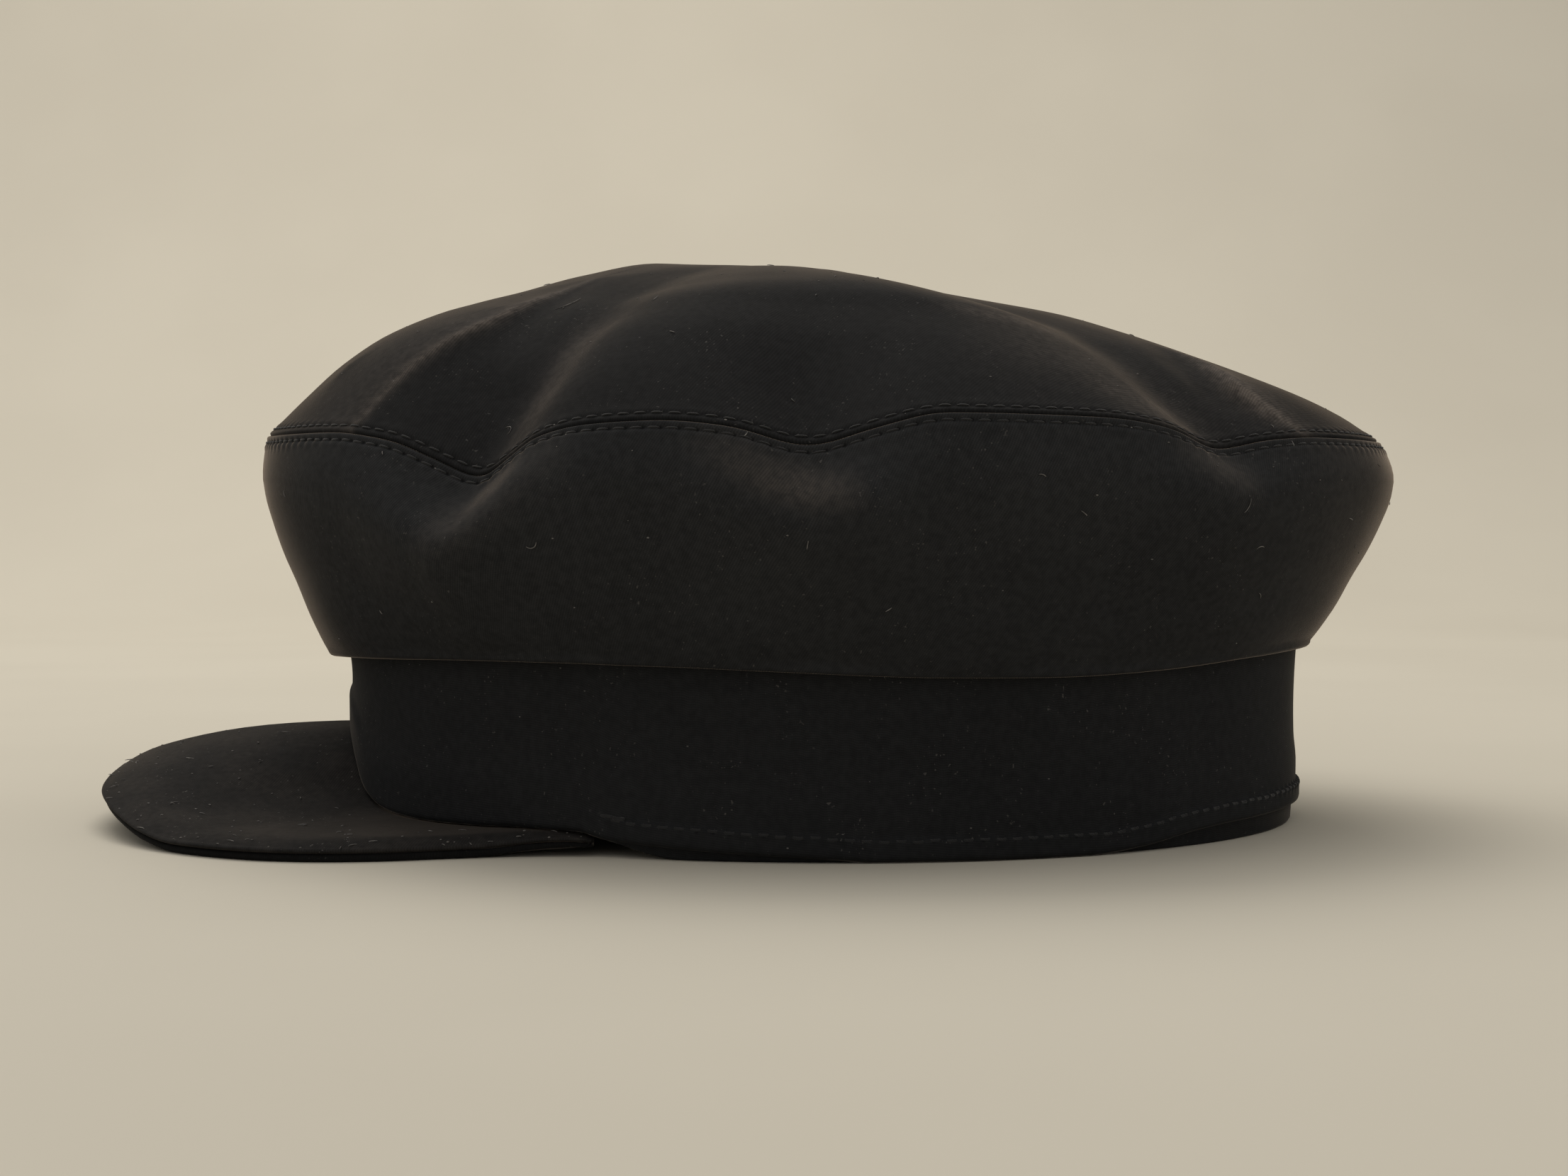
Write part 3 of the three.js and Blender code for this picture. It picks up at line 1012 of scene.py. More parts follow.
@dataclass(frozen=True)
class Facet:
    """A strip of cloth pulled straight between a ridge and the bottom of the hollow beside it."""

    ridge: Line
    hollow: Line
    depths: tuple[float, ...]

    def at(self, flat: Array) -> Array:
        """How far the strip lies below the plain panel, as a lift, at each point."""
        from_ridge, along, ridge_side = self.ridge.reach(flat)
        from_hollow, _, hollow_side = self.hollow.reach(flat)
        share = from_ridge / np.maximum(from_ridge + from_hollow, 1e-6)
        depth = np.interp(along, np.arange(len(self.depths)), self.depths)
        sag = depth * share * (1 - share) ** 2 * 27 / 4
        return np.where(ridge_side * hollow_side < 0, -sag, 0.0)


RIDGE_A = Line(((63, -92), (58.5, -85), (52, -74), (46.5, -65.5), (36, -57.5), (24, -47.5)))
HOLLOW_A = Line(((76, -64.5), (71, -61), (65, -57.5), (56, -52.5), (44, -48.5), (24, -45)))
RIDGE_C = Line(((62, 96), (62, 90), (60, 84), (55, 79), (43, 74), (36, 68)))
HOLLOW_C = Line(((74, 73), (70, 71), (64, 68), (56, 64.5), (46, 61), (34, 57)))

# Folds of the top panel, with lines in plan: hollows, facets, ridges and the shoulders beside them
TOP_FOLDS = (
    Fold(HOLLOW_A, (-5.3, -5.0, -4.4, -3.3, -1.7, 0), 15, 12, 3.5, 1.7),
    Fold(Line(((94, -5), (76, -6))), (-1.5, 0), 12, 12, 4, 2),
    Fold(HOLLOW_C, (-1.8, -1.8, -1.3, -0.6, -0.2, 0), 22, 13, 4.0, 2),
    Fold(Line(((-66, 60), (-34, 34))), (-2.5, -0.8), 13, 13, 5, 2),
    Fold(Line(((-62, -70), (-24, -48))), (-3.0, -0.8), 13, 13, 5, 2),
    Facet(RIDGE_A, HOLLOW_A, (0.0, 0.8, 1.6, 1.7, 0.9, 0.0)),
    Facet(RIDGE_C, HOLLOW_C, (0.0, 0.8, 1.8, 2.0, 1.0, 0.0)),
    Fold(RIDGE_A, (0, 0.4, 0.8, 0.9, 0.8, 0.3), 9, 5, 0.5),
    Fold(RIDGE_C, (0, 0.4, 1.1, 1.4, 0.8, 0.2), 4, 8, 0.5),
    Fold(Line(((79, -55), (72, -51), (66, -48), (54, -45))), (0.3, 0.4, 0.3, 0.0), 7, 11, 4, 1.6),
    Fold(Line(((30, -104), (35, -97), (36, -90))), (0.2, 0.8, 0), 4, 4, 0.8),
    Fold(Line(((65, 20), (64, 28), (61, 38), (58, 50))), (0, 0.4, 0.5, 0.0), 7, 6, 1.5, 1.3),
    Fold(Line(((80, 54), (78, 59), (74, 63))), (0, 0.5, 0.1), 5, 6, 2.0, 1.5),
)

# A degree round the crown counts as this many millimetres of cloth
ROUND = 1.85

# Swells of the side panel where it turns out below the rim's dents, with lines in degrees and height
SIDE_FOLDS = (
    Fold(Line(((64, 73), (61, 68), (58, 63), (55.5, 59.5), (53, 58), (50, 60))),
         (0, 0.9, 1.4, 1.5, 1.2, 0.2), 9, 5, 2, 1.5),
    Fold(Line(((79, 76), (82, 72), (85, 67.5), (88, 65), (91, 64), (94.5, 65), (98, 68))),
         (0, 0.9, 1.7, 2.0, 1.8, 0.9, 0), 5, 10, 2, 1.5),
    Fold(Line(((123, 76), (126, 72.5), (129, 69.5), (132, 68), (135, 67))),
         (0, 0.9, 1.2, 0.7, 0), 4, 8, 2, 1.5),
)

# Where the cloth is painted paler: partly wear, and partly painted sheen and highlights where light grazes
# it, along the ridges and shoulders of the top, on the side's swells and along the side's back edge
TOP_WEAR_AND_SHEEN = (
    # Painted highlight: the thin bright line along ridge A
    Fold(RIDGE_A, (0.15, 0.35, 0.6, 0.75, 0.75, 0.5), 1.0, 0.7, 0.2),
    # Painted sheen: the broad facet beside ridge A, seen at a grazing angle
    Fold(RIDGE_A, (0.24, 0.27, 0.24, 0.18, 0.12, 0.03), 11, 0.7, 0.2),
    # Painted highlight: the bright line along ridge C
    Fold(RIDGE_C, (0.1, 0.6, 1.1, 1.1, 0.7, 0.1), 1.6, 3.5, 0.3),
    Fold(Line(((77, -57), (71, -53), (66, -50), (58, -47), (50, -45))),
         (0.15, 0.25, 0.28, 0.22, 0.08), 2.5, 5, 2, 1.5),
    Fold(Line(((80, 53), (78, 59), (75, 64))), (0.15, 0.3, 0.15), 4, 4, 2, 1.5),
    Fold(Line(((64, 18), (64, 28), (61, 38), (58, 50))), (0.0, 0.35, 0.4, 0.0), 1.6, 2.2, 0.6, 1.2),
    Fold(Line(((70, 22), (71, 38), (70, 54), (71, 60))), (0.0, 0.16, 0.18, 0.1), 11, 11, 3, 1.8),
)
SIDE_WEAR_AND_SHEEN = (
    # Painted sheen: the glow along the side's back edge, where the view grazes it
    Fold(Line(((150, 74), (161, 60), (172, 46))), (0.18, 0.32, 0.26), 17, 17, 4, 2),
    # The swells' up-facing lips below the dents: partly wear, partly painted light
    Fold(Line(((64, 74), (61, 69.5), (58, 65), (55.5, 62), (53, 61), (50, 63))),
         (0.15, 0.2, 0.22, 0.3, 0.25, 0), 3.5, 3.5, 1.5, 1.8),
    Fold(Line(((79.5, 76), (82, 73), (85, 70), (88, 68), (91, 67.6), (93.5, 68.6))),
         (0.15, 0.35, 0.5, 0.62, 0.4, 0), 2.8, 2.4, 1.2, 2),
    Fold(Line(((124, 75), (127, 72.5), (130, 70.5), (133, 69))), (0.2, 0.35, 0.35, 0), 2.6, 2.6, 1.5, 1.8),
)


# How far from the rim seam the first rows of both panels lie
ROWS_BESIDE_SEAM = np.array([0, 0.12, 0.26, 0.45, 0.72, 1.05, 1.4, 1.65, 1.9, 2.2, 2.6, 3.0, 3.6, 4.5])


@dataclass(frozen=True)
class Seam:
    """The rim seam: how deep it lies, and how its two rows of topstitching quilt the cloth."""

    pitch: float = 3.3
    row: float = 1.65
    columns_per_stitch: int = 5
    depth: float = 0.4
    groove: float = 0.24
    hole_width: float = 0.2
    hole_depth: float = 0.34
    welt_height: float = 0.2
    welt_away: float = 0.75
    welt_width: float = 0.45
    channel_depth: float = 0.05
    channel_width: float = 0.42
    puff_height: float = 0.25
    puff_dip: float = 0.2
    puff_away: float = 0.95
    puff_width: float = 0.7

    def relief(self, away: Array, column: Array, tension: float) -> Array:
        """How far the cloth stands out beside the seam.

        Args:
            away: the distance from the seam along the cloth.
            column: the column's number, a stitch's middle standing at each whole stitch.
            tension: how hard the thread pulls at its needle holes.

        Returns:
            The height above the plain cloth.
        """
        phase = column / self.columns_per_stitch
        hole = np.abs(phase - np.floor(phase) - 0.5)
        pull = bell(hole, self.hole_width)
        groove = -self.depth * bell(away, self.groove)
        welt = self.welt_height * bell(away - self.welt_away, self.welt_width)
        sunk = self.channel_depth + self.hole_depth * pull
        channel = -sunk * bell(away - self.row, self.channel_width)
        raised = self.puff_height - self.puff_dip * pull
        puff = raised * bell(away - self.row - self.puff_away, self.puff_width)
        return groove + tension * (welt + channel + puff)


@dataclass
class Crown:
    """The crown: a domed top panel and a flared side panel, joined by a topstitched rim seam."""

    seam: Seam = field(default_factory=Seam)
    stitches_round: int = 208
    wall: float = 1.6
    gap: float = 0.06
    top_rim_z: float = 80.0
    top_middle_z: float = 116.3
    dent_reach: float = 7.0
    band_wall: float = 2.5
    band_rise: float = 1.6
    fold_radius: float = 1.3
    fold_turns: tuple[float, ...] = (20, 40, 60, 80)
    fold_lip: float = 0.15
    shelf_gap: float = 0.25
    tuck_depths: tuple[float, ...] = (0.7, 1.4)
    rim_ease: float = 0.12
    top_reach: float = 0.985
    top_samples: int = 240
    upper_samples: int = 60
    lower_samples: int = 100
    top_rows: int = 50
    side_rows: int = 27
    inner_rows: int = 14
    top_rumple: Rumple = Rumple(3, 0.35)
    side_rumple: Rumple = Rumple(8, 0.4)
    top_tension: float = 0.5
    side_tension: float = 1.0
    stitch_length: float = 2.3
    stitch_width: float = 0.42
    stitch_height: float = 0.32
    stitch_wander: float = 0.08

    def __post_init__(self) -> None:
        """Reads the tables and spaces the columns evenly along the seam."""
        wall = columns_of(WALL_COLUMNS, WALL_ROWS)
        names = WALL_COLUMNS[1:]
        self.curves = {name: Loop(wall["angle"], wall[name]) for name in names}
        self.flare = Curve(*zip(*FLARE_ROWS))
        self.columns = self.stitches_round * self.seam.columns_per_stitch
        self.angles, self.step = even_angles(self.rim, self.columns)
        self.count = np.arange(self.columns)

    def at(self, name: str, angle: Array) -> Array:
        """One column of the wall's table at the given angles."""
        return self.curves[name].at(angle)

    def rim(self, angle: Array) -> Array:
        """The rim seam's points at the given angles."""
        return OVAL.points(angle, self.at("rim_out", angle), self.at("rim_z", angle))

    def distances(self, lengths: Array, rows: int) -> Array:
        """Distances from the seam, close together beside it and then evenly to the far end.

        Args:
            lengths: the length of each column's line.
            rows: how many even rows follow.

        Returns:
            The distances, as rows by columns.
        """
        shares = np.arange(1, rows + 1)[:, None] / rows
        last = ROWS_BESIDE_SEAM[-1]
        far = last + (lengths[None, :] - last) * shares
        return np.concatenate([np.tile(ROWS_BESIDE_SEAM[:, None], (1, len(lengths))), far])

    def wall_lines(self) -> Array:
        """The side panel's outer line at each column, from the seam down to the bottom fold."""
        read = {name: self.at(name, self.angles)[None, :] for name in self.curves}
        share = np.linspace(0, 1, self.upper_samples)[:, None]
        dented = share * share * (3 - 2 * share)
        full = 1 - (1 - share) ** 2
        bend = lerp(dented, full, read["fullness"])
        out = lerp(read["rim_out"], read["bulge_out"], bend)
        z = lerp(read["rim_z"] - self.gap / 2, read["bulge_z"], share)
        upper = OVAL.points(self.angles, out + self.swell(z), z)
        height = read["bulge_z"] - read["fold_z"]
        share = np.linspace(0, 1, self.lower_samples)[1:, None]
        rise = lerp(1.0, self.fold_radius / height, share)
        out = lerp(read["fold_out"], read["bulge_out"], self.flare.at(rise))
        z = lerp(read["fold_z"], read["bulge_z"], rise)
        lower = OVAL.points(self.angles, out + self.swell(z), z)
        return np.concatenate([upper, lower])

    def swell(self, z: Array) -> Array:
        """How far the side panel's folds push it out at each height, by column."""
        below = self.at("rim_z", self.angles) - z
        return self.round_sum(SIDE_FOLDS, z) * smoothstep(below, 0.0, 3.0)

    def round_sum(self, folds: Sequence[Fold], z: Array) -> Array:
        """Sums folds whose lines are given in degrees and height, at each height by column.

        Args:
            folds: the folds.
            z: the heights, as rows by columns.

        Returns:
            Their sum, as rows by columns.
        """
        flat = np.stack([np.broadcast_to(self.angles * ROUND, z.shape), z], axis=-1)
        total = np.zeros(z.shape)
        for fold in folds:
            line = Line(tuple((angle * ROUND, height) for angle, height in fold.line.points))
            total += replace(fold, line=line).at(flat)
        return total

    def top_point(self, share: Array) -> Array:
        """The top panel's points at shares of the way from the middle to the rim, by column.

        Args:
            share: the shares, from 0 in the middle to 1 at the rim.

        Returns:
            The points, as shares by columns by 3.
        """
        folded = np.where(self.angles > 180, FULL_TURN - self.angles, self.angles)
        shares, *radii = zip(*TOP_ROWS)
        heights = np.stack([Curve(shares, radius).at(share) for radius in radii], axis=1)
        shape = np.stack([Curve(TOP_ANGLES, across).at(folded) for across in heights])
        rim = self.rim(self.angles)[None]
        share = share[:, None]
        plan = share[..., None] * rim[..., :2]
        edge = rim[..., 2] + self.gap / 2
        dent = (edge - self.top_rim_z) * share ** self.dent_reach
        level = lerp(self.top_rim_z, self.top_middle_z, shape)
        ease = np.minimum(1, (1 - share) / self.rim_ease)
        flat = np.concatenate([plan, level[..., None]], axis=-1)
        lift = sum(fold.at(flat) for fold in TOP_FOLDS) * ease
        return np.concatenate([plan, (level + dent + lift)[..., None]], axis=-1)

    def build(self) -> None:
        """Builds both panels and the two rows of topstitching."""
        shares = 1 - np.linspace(0, 1, self.top_samples)
        top_lines = self.top_point(shares)
        side_lines = self.wall_lines()
        top_away = self.distances(line_lengths(top_lines) * self.top_reach, self.top_rows)
        side_away = self.distances(line_lengths(side_lines), self.side_rows)
        top, side = walk(top_lines, top_away), walk(side_lines, side_away)
        top_up, side_up = -outward(top), outward(side)
        seam_up = unit(top_up[0] + side_up[0])
        self.top_skin = self.quilt(
            top, top_up, top_away, seam_up, self.top_rumple, self.top_tension
        )
        self.side_skin = self.quilt(
            side, side_up, side_away, seam_up, self.side_rumple, self.side_tension
        )
        self.build_top(top, top_up, top_away, seam_up)
        self.build_side(side, side_up, side_away, seam_up)
        self.sew_rim(top_away, side_away)

    def quilt(
        self, plain: Array, up: Array, away: Array, seam_up: Array, rumple: Rumple, tension: float,
    ) -> Skin:
        """Presses the seam's relief and a gentle rumple into a panel.

        Args:
            plain: the panel's plain points, as rows by columns by 3.
            up: the outward direction at each of them.
            away: their distance from the seam, as rows by columns.
            seam_up: the outward direction at the seam, which both panels share, by column.
            rumple: the panel's unevenness.
            tension: how hard the thread pulls at its needle holes.

        Returns:
            The panel's outer surface.
        """
        share = smoothstep(away, 0.1, 0.9)[..., None]
        heading = unit(lerp(seam_up[None], up, share))
        relief = self.seam.relief(away, self.count[None, :], tension)
        relief = relief + rumple.at(plain) * smoothstep(away, 1.0, 12.0)
        return Skin(plain + heading * relief[..., None], up)

    def tuck(self, seam: Array, seam_up: Array) -> Array:
        """The cloth's turned-in edge behind the seam."""
        return np.stack([seam - seam_up * depth for depth in self.tuck_depths])

    def build_top(self, plain: Array, up: Array, away: Array, seam_up: Array) -> None:
        """Builds the top panel, closed round its edge and over its underside.

        Args:
            plain: the panel's points without relief, as rows by columns by 3.
            up: the outward direction at each of them.
            away: their distance from the seam.
            seam_up: the outward direction at the seam, by column.
        """
        outer = self.top_skin.points
        rows = np.linspace(len(ROWS_BESIDE_SEAM) + 1, len(plain) - 2, self.inner_rows).astype(int)
        inner = plain[rows] - up[rows] * self.wall
        middle = np.broadcast_to(outer[-1].mean(axis=0), (1, self.columns, 3))
        under = np.broadcast_to(inner[-1].mean(axis=0), (1, self.columns, 3))
        tuck = self.tuck(outer[0], seam_up)
        points = np.concatenate([middle, outer[::-1], tuck, inner, under])
        cloth = flat_cloth(points, self.step)
        self.mark_distances(cloth, away)
        # Paler along the folds: partly wear, partly painted sheen and highlights
        wear_and_sheen = np.clip(sum(fold.at(points) for fold in TOP_WEAR_AND_SHEEN), 0, 1)
        piece = Sleeve("top_panel", self.columns, len(points)).lay(points, cloth, wear_and_sheen)
        dress(piece, TOP_CLOTH.material(), "crown_cloth", "crown_top")

    def mark_distances(self, cloth: Array, away: Array) -> None:
        """Counts the flat cloth of the top panel from the seam, and its hidden side below zero.

        Args:
            cloth: where each vertex lies on the flat cloth, which is changed.
            away: the distance of the panel's rows from the seam.
        """
        closed = np.concatenate([away, away[:, :1]], axis=1)
        face = len(away) + 1
        cloth[1:face, :, 1] = closed[::-1]
        cloth[0, :, 1] = closed[-1] + 1.0
        cloth[face:, :, 1] *= -1

    def build_side(self, plain: Array, up: Array, away: Array, seam_up: Array) -> None:
        """Builds the side panel, with its bottom fold turned under to the band.

        Args:
            plain: the panel's points without relief, as rows by columns by 3.
            up: the outward direction at each of them.
            away: their distance from the seam.
            seam_up: the outward direction at the seam, by column.
        """
        outer = self.side_skin.points
        read = {name: self.at(name, self.angles) for name in self.curves}
        fold = read["fold_z"]
        flare = self.flare.at(self.fold_radius / (read["bulge_z"] - fold))
        start = lerp(read["fold_out"], read["bulge_out"], flare)
        turned = [
            (start - self.fold_radius * (1 - np.cos(turn)), fold + self.fold_radius * (1 - np.sin(turn)))
            for turn in np.radians(self.fold_turns)
        ]
        shelf = fold + self.band_rise + self.shelf_gap
        turned += [
            (self.shelf_gap, fold + self.fold_lip),
            (self.shelf_gap, shelf),
            (-self.band_wall, shelf),
            (-self.band_wall, shelf + self.wall),
        ]
        rows = [OVAL.points(self.angles, out, z) for out, z in turned]
        picked = np.linspace(len(plain) - 3, 6, self.inner_rows).astype(int)
        inner = plain[picked] - up[picked] * self.wall
        tuck = self.tuck(outer[0], seam_up)[::-1]
        points = np.concatenate([outer, np.stack(rows), inner, tuck, outer[:1]])
        cloth = flat_cloth(points, self.step)
        cloth[: len(outer), :, 1] = np.concatenate([away, away[:, :1]], axis=1)
        # Paler on the swells and the back edge: partly wear, partly painted sheen
        wear_and_sheen = np.clip(self.round_sum(SIDE_WEAR_AND_SHEEN, points[..., 2]), 0, 1)
        piece = Sleeve("side_panel", self.columns, len(points)).lay(points, cloth, wear_and_sheen)
        dress(piece, SIDE_CLOTH.material(), "crown_cloth", "crown_side")

    def sew_rim(self, top_away: Array, side_away: Array) -> None:
        """Sews one row of topstitching above the rim seam and one below it.

        Args:
            top_away: how far each row of the top panel lies from the seam.
            side_away: the same for the side panel.
        """
        thread = ThreadFinish().material()
        for name, skin, away in (
            ("rim_stitches_upper", self.top_skin, top_away),
            ("rim_stitches_lower", self.side_skin, side_away),
        ):
            row = int(np.abs(away[:, 0] - self.seam.row).argmin())
            stitches = StitchRow(
                name, self.seam.pitch, self.stitch_length, self.stitch_width, self.stitch_height,
                self.seam.columns_per_stitch,
            )
            piece = stitches.sew(skin.rail(row), 0, self.stitches_round, self.stitch_wander)
            dress(piece, thread, "crown_cloth")


# The band

# The height of the hem's bottom edge, by angle from the front
HEM_ROWS = (
    (0, 19.8), (6, 19.0), (12, 16.6), (17, 12.6), (20, 9.2), (23, 6.8), (27, 5.2), (32, 4.4),
    (38, 4.1), (47, 4.3), (56, 4.7), (62, 4.6), (66, 3.2), (75, 2.0), (84, 1.1), (91, 0.5),
    (95, 0.0), (119, 0.0), (126, 0.8), (135, 2.8), (143, 3.5), (160, 3.9), (180, 4.1),
)


# How high the rows of the hem stand above its bottom edge
HEM_HEIGHTS = np.array([0, 0.25, 0.7, 1.3, 2.0, 2.7, 3.3, 3.7, 4.1, 4.5, 4.9, 5.4, 6.2, 7.4])


@dataclass
class Hem:
    """The band's bottom edge, the same on both sides of the cap."""

    height: float = 4.4
    swell: float = 0.8
    swell_from: float = 63.0
    swell_to: float = 72.0

    def __post_init__(self) -> None:
        """Reads the table."""
        self.curve = Curve(*zip(*HEM_ROWS))

    def folded(self, angle: Array) -> Array:
        """The angle from the front, whichever side it is on."""
        angle = np.asarray(angle, float) % FULL_TURN
        return np.where(angle > 180, FULL_TURN - angle, angle)

    def z(self, angle: Array) -> Array:
        """The height of the bottom edge."""
        return self.curve.at(self.folded(angle))

    def out(self, angle: Array) -> Array:
        """How far the turned hem stands out: not at all over the peak."""
        return self.swell * smoothstep(self.folded(angle), self.swell_from, self.swell_to)


@dataclass
class Headband:
    """The upright headband, with its turned hem and the hem's topstitching behind the peak."""

    crown: Crown
    hem: Hem = field(default_factory=Hem)
    wall: float = 2.5
    pitch: float = 3.1
    columns_per_stitch: int = 5
    stitches_round: int = 189
    sewn_from: float = 65.5
    lip_fade: tuple[float, float] = (-1.0, 9.0)
    face_rows: int = 19
    waist: float = 0.55
    hem_roll: float = 0.9
    bow: float = 0.7
    hollow: float = 0.6
    rumple: Rumple = Rumple(21, 0.22, 14.0, 60.0)
    thread_drop: float = 0.3
    hole_width: float = 0.2
    hole_depth: float = 0.35
    channel_depth: float = 0.1
    channel_width: float = 0.5
    puff_height: float = 0.16
    puff_drop: float = 0.2
    puff_width: float = 0.7
    tack_stitches: int = 3
    tack_rise: float = 0.55

    def build(self) -> None:
        """Builds the band, its row of hem stitches and the tack that the row starts with."""
        self.columns = self.stitches_round * self.columns_per_stitch
        self.angles, self.step = even_angles(self.edge, self.columns)
        outer = self.outer_rows()
        up = outward(outer)
        relief = self.rumple.at(outer) + self.needle_relief(len(outer))
        eased = relief * smoothstep(np.arange(len(outer))[:, None], -1, 2)
        skin = outer + up * eased[..., None]
        self.skin = Skin(skin, up)
        points = np.concatenate([skin, self.inner_rows(), skin[:1]])
        cloth = flat_cloth(points, self.step)
        piece = Sleeve("headband", self.columns, len(points)).lay(points, cloth, sewn=self.sewn())
        dress(piece, BAND_CLOTH.material(), "band_cloth", "band")
        self.sew_hem()

    def edge(self, angle: Array) -> Array:
        """The hem's bottom edge at the given angles."""
        return OVAL.points(angle, 0.0, self.hem.z(angle))

    def levels(self) -> tuple[Array, Array, Array, Array]:
        """The heights of the hem's bottom, the hem's top, the waist and the top edge, by column."""
        bottom = self.hem.z(self.angles)
        hem_top = bottom + self.hem.height
        top = self.crown.at("fold_z", self.angles) + self.crown.band_rise
        return bottom, hem_top, lerp(hem_top, top, self.waist), top

    def outer_rows(self) -> Array:
        """The band's outer face, from the underside of its hem up to its top edge."""
        bottom, _, waist, top = self.levels()
        swell = self.hem.out(self.angles)
        rows = []
        for height in HEM_HEIGHTS:
            edge = 1 - max(0.0, 1 - height) ** 2
            roll = lerp(-self.hem_roll, 0.0, edge)
            turned = 1 - smoothstep(height, self.hem.height - 0.7, self.hem.height + 0.3)
            rows.append(OVAL.points(self.angles, roll + swell * turned * edge, bottom + height))
        for share in np.linspace(0, 1, self.face_rows + 1)[1:]:
            z = lerp(bottom + HEM_HEIGHTS[-1], top, share)
            drawn = 1 - np.clip(np.abs(z - waist) / (top - bottom - self.hem.height) * 2, 0, 1) ** 2
            rows.append(OVAL.points(self.angles, -self.bow * drawn * smoothstep(share, 0, 0.25), z))
        return np.stack(rows)

    def inner_rows(self) -> Array:
        """The band's inner face, from its top edge down to the hem and round the hem's inner lip."""
        bottom, hem_top, waist, top = self.levels()
        fade_from, fade_to = (self.sewn_from + step for step in self.lip_fade)
        behind = smoothstep(self.hem.folded(self.angles), fade_from, fade_to)
        rows = (
            (-self.wall, top),
            (-self.wall - self.hollow / 2, lerp(waist, top, 0.5)),
            (-self.wall - self.hollow, waist),
            (-self.wall - self.hollow / 2, lerp(waist, hem_top, 0.5)),
            (-self.wall, hem_top),
            (-self.wall, lerp(bottom + 0.8, 0.5, behind)),
            (-self.wall + 0.4, lerp(bottom + 0.1, 0.05, behind)),
            (-1.5, lerp(bottom + 0.05, 0.05, behind)),
            (-1.2, lerp(bottom + 0.03, np.minimum(bottom, 0.5), behind)),
        )
        return np.stack([OVAL.points(self.angles, out, z) for out, z in rows])

    def sewn(self) -> Array:
        """1 for the columns where the hem is topstitched, 0 over the peak."""
        folded = self.hem.folded(self.angles)
        return smoothstep(folded, self.sewn_from - 0.5, self.sewn_from + 0.5)

    def needle_relief(self, rows: int) -> Array:
        """How the thread pulls the hem in, row by row and column by column.

        Args:
            rows: how many rows the band's face has.

        Returns:
            The relief, as rows by columns.
        """
        phase = np.arange(self.columns) / self.columns_per_stitch
        pull = bell(np.abs(phase - np.floor(phase) - 0.5), self.hole_width) * self.sewn()
        relief = np.zeros((rows, self.columns))
        for row, height in enumerate(HEM_HEIGHTS):
            gap = height - self.hem.height + self.thread_drop
            sunk = self.channel_depth * self.sewn() + self.hole_depth * pull
            raised = self.puff_height * (self.sewn() - pull)
            relief[row] = -sunk * bell(gap, self.channel_width)
            relief[row] += raised * bell(gap + self.puff_drop, self.puff_width)
        return relief

    def sew_hem(self) -> None:
        """Sews the hem behind the peak, from a lumpy tack on one side round to the other."""
        row = int(np.abs(HEM_HEIGHTS - (self.hem.height - self.thread_drop)).argmin())
        rail = self.skin.rail(row)
        folded = self.hem.folded(self.angles[:: self.columns_per_stitch])
        numbers = np.flatnonzero(folded > self.sewn_from)
        thread = ThreadFinish("hem_thread").material()
        stitches = StitchRow("hem_stitches", self.pitch, 2.2, 0.8, 0.5, self.columns_per_stitch)
        piece = stitches.sew(rail, int(numbers[0]), len(numbers), 0.12)
        dress(piece, thread, "band_cloth")
        tack = StitchRow("hem_tack", self.pitch * 0.7, 2.4, 1.0, 0.8, 4)
        first = int(numbers[0] * self.columns_per_stitch / tack.columns_per_stitch) - 1
        lifted = Rail(rail.points + np.array([0, 0, self.tack_rise]), rail.normals)
        piece = tack.sew(lifted, first, self.tack_stitches, 0.35)
        dress(piece, thread, "band_cloth")


# The peak

# The near side's outline in plan, from the middle of its front to the band
OUTLINE_ROWS = (
    (0, -151.5), (15, -150.5), (30, -147.7), (45, -142.1), (57, -135.5), (67, -127.6),
    (75, -118.1), (80.5, -108), (83, -99), (83.5, -91), (82.4, -82), (79.8, -73),
    (77.6, -65), (76.4, -57), (76.3, -50), (76.6, -44.8),
)

# The upper face's height and the peak's thickness at places along the outline
EDGE_COLUMNS = ("x", "y", "top_z", "thickness")
EDGE_ROWS = (
    (0, -151.5, 11.4, 4.0),
    (30, -147.7, 9.2, 4.0),
    (50, -139.6, 7.3, 4.0),
    (62, -131.8, 5.2, 4.0),
    (71, -123.3, 4.0, 4.0),
    (83.5, -91, 4.0, 4.0),
    (78.3, -67, 4.0, 3.9),
    (76.3, -52, 4.8, 3.0),
    (76.6, -44.8, 4.3, 2.0),
)


# How far in from the peak's rolled edge each row of a cover lies, as shares of the way
COVER_SHARES = (
    1, 0.95, 0.88, 0.79, 0.69, 0.59, 0.49, 0.4, 0.32, 0.25, 0.19, 0.14, 0.1, 0.065, 0.035, 0.015,
)


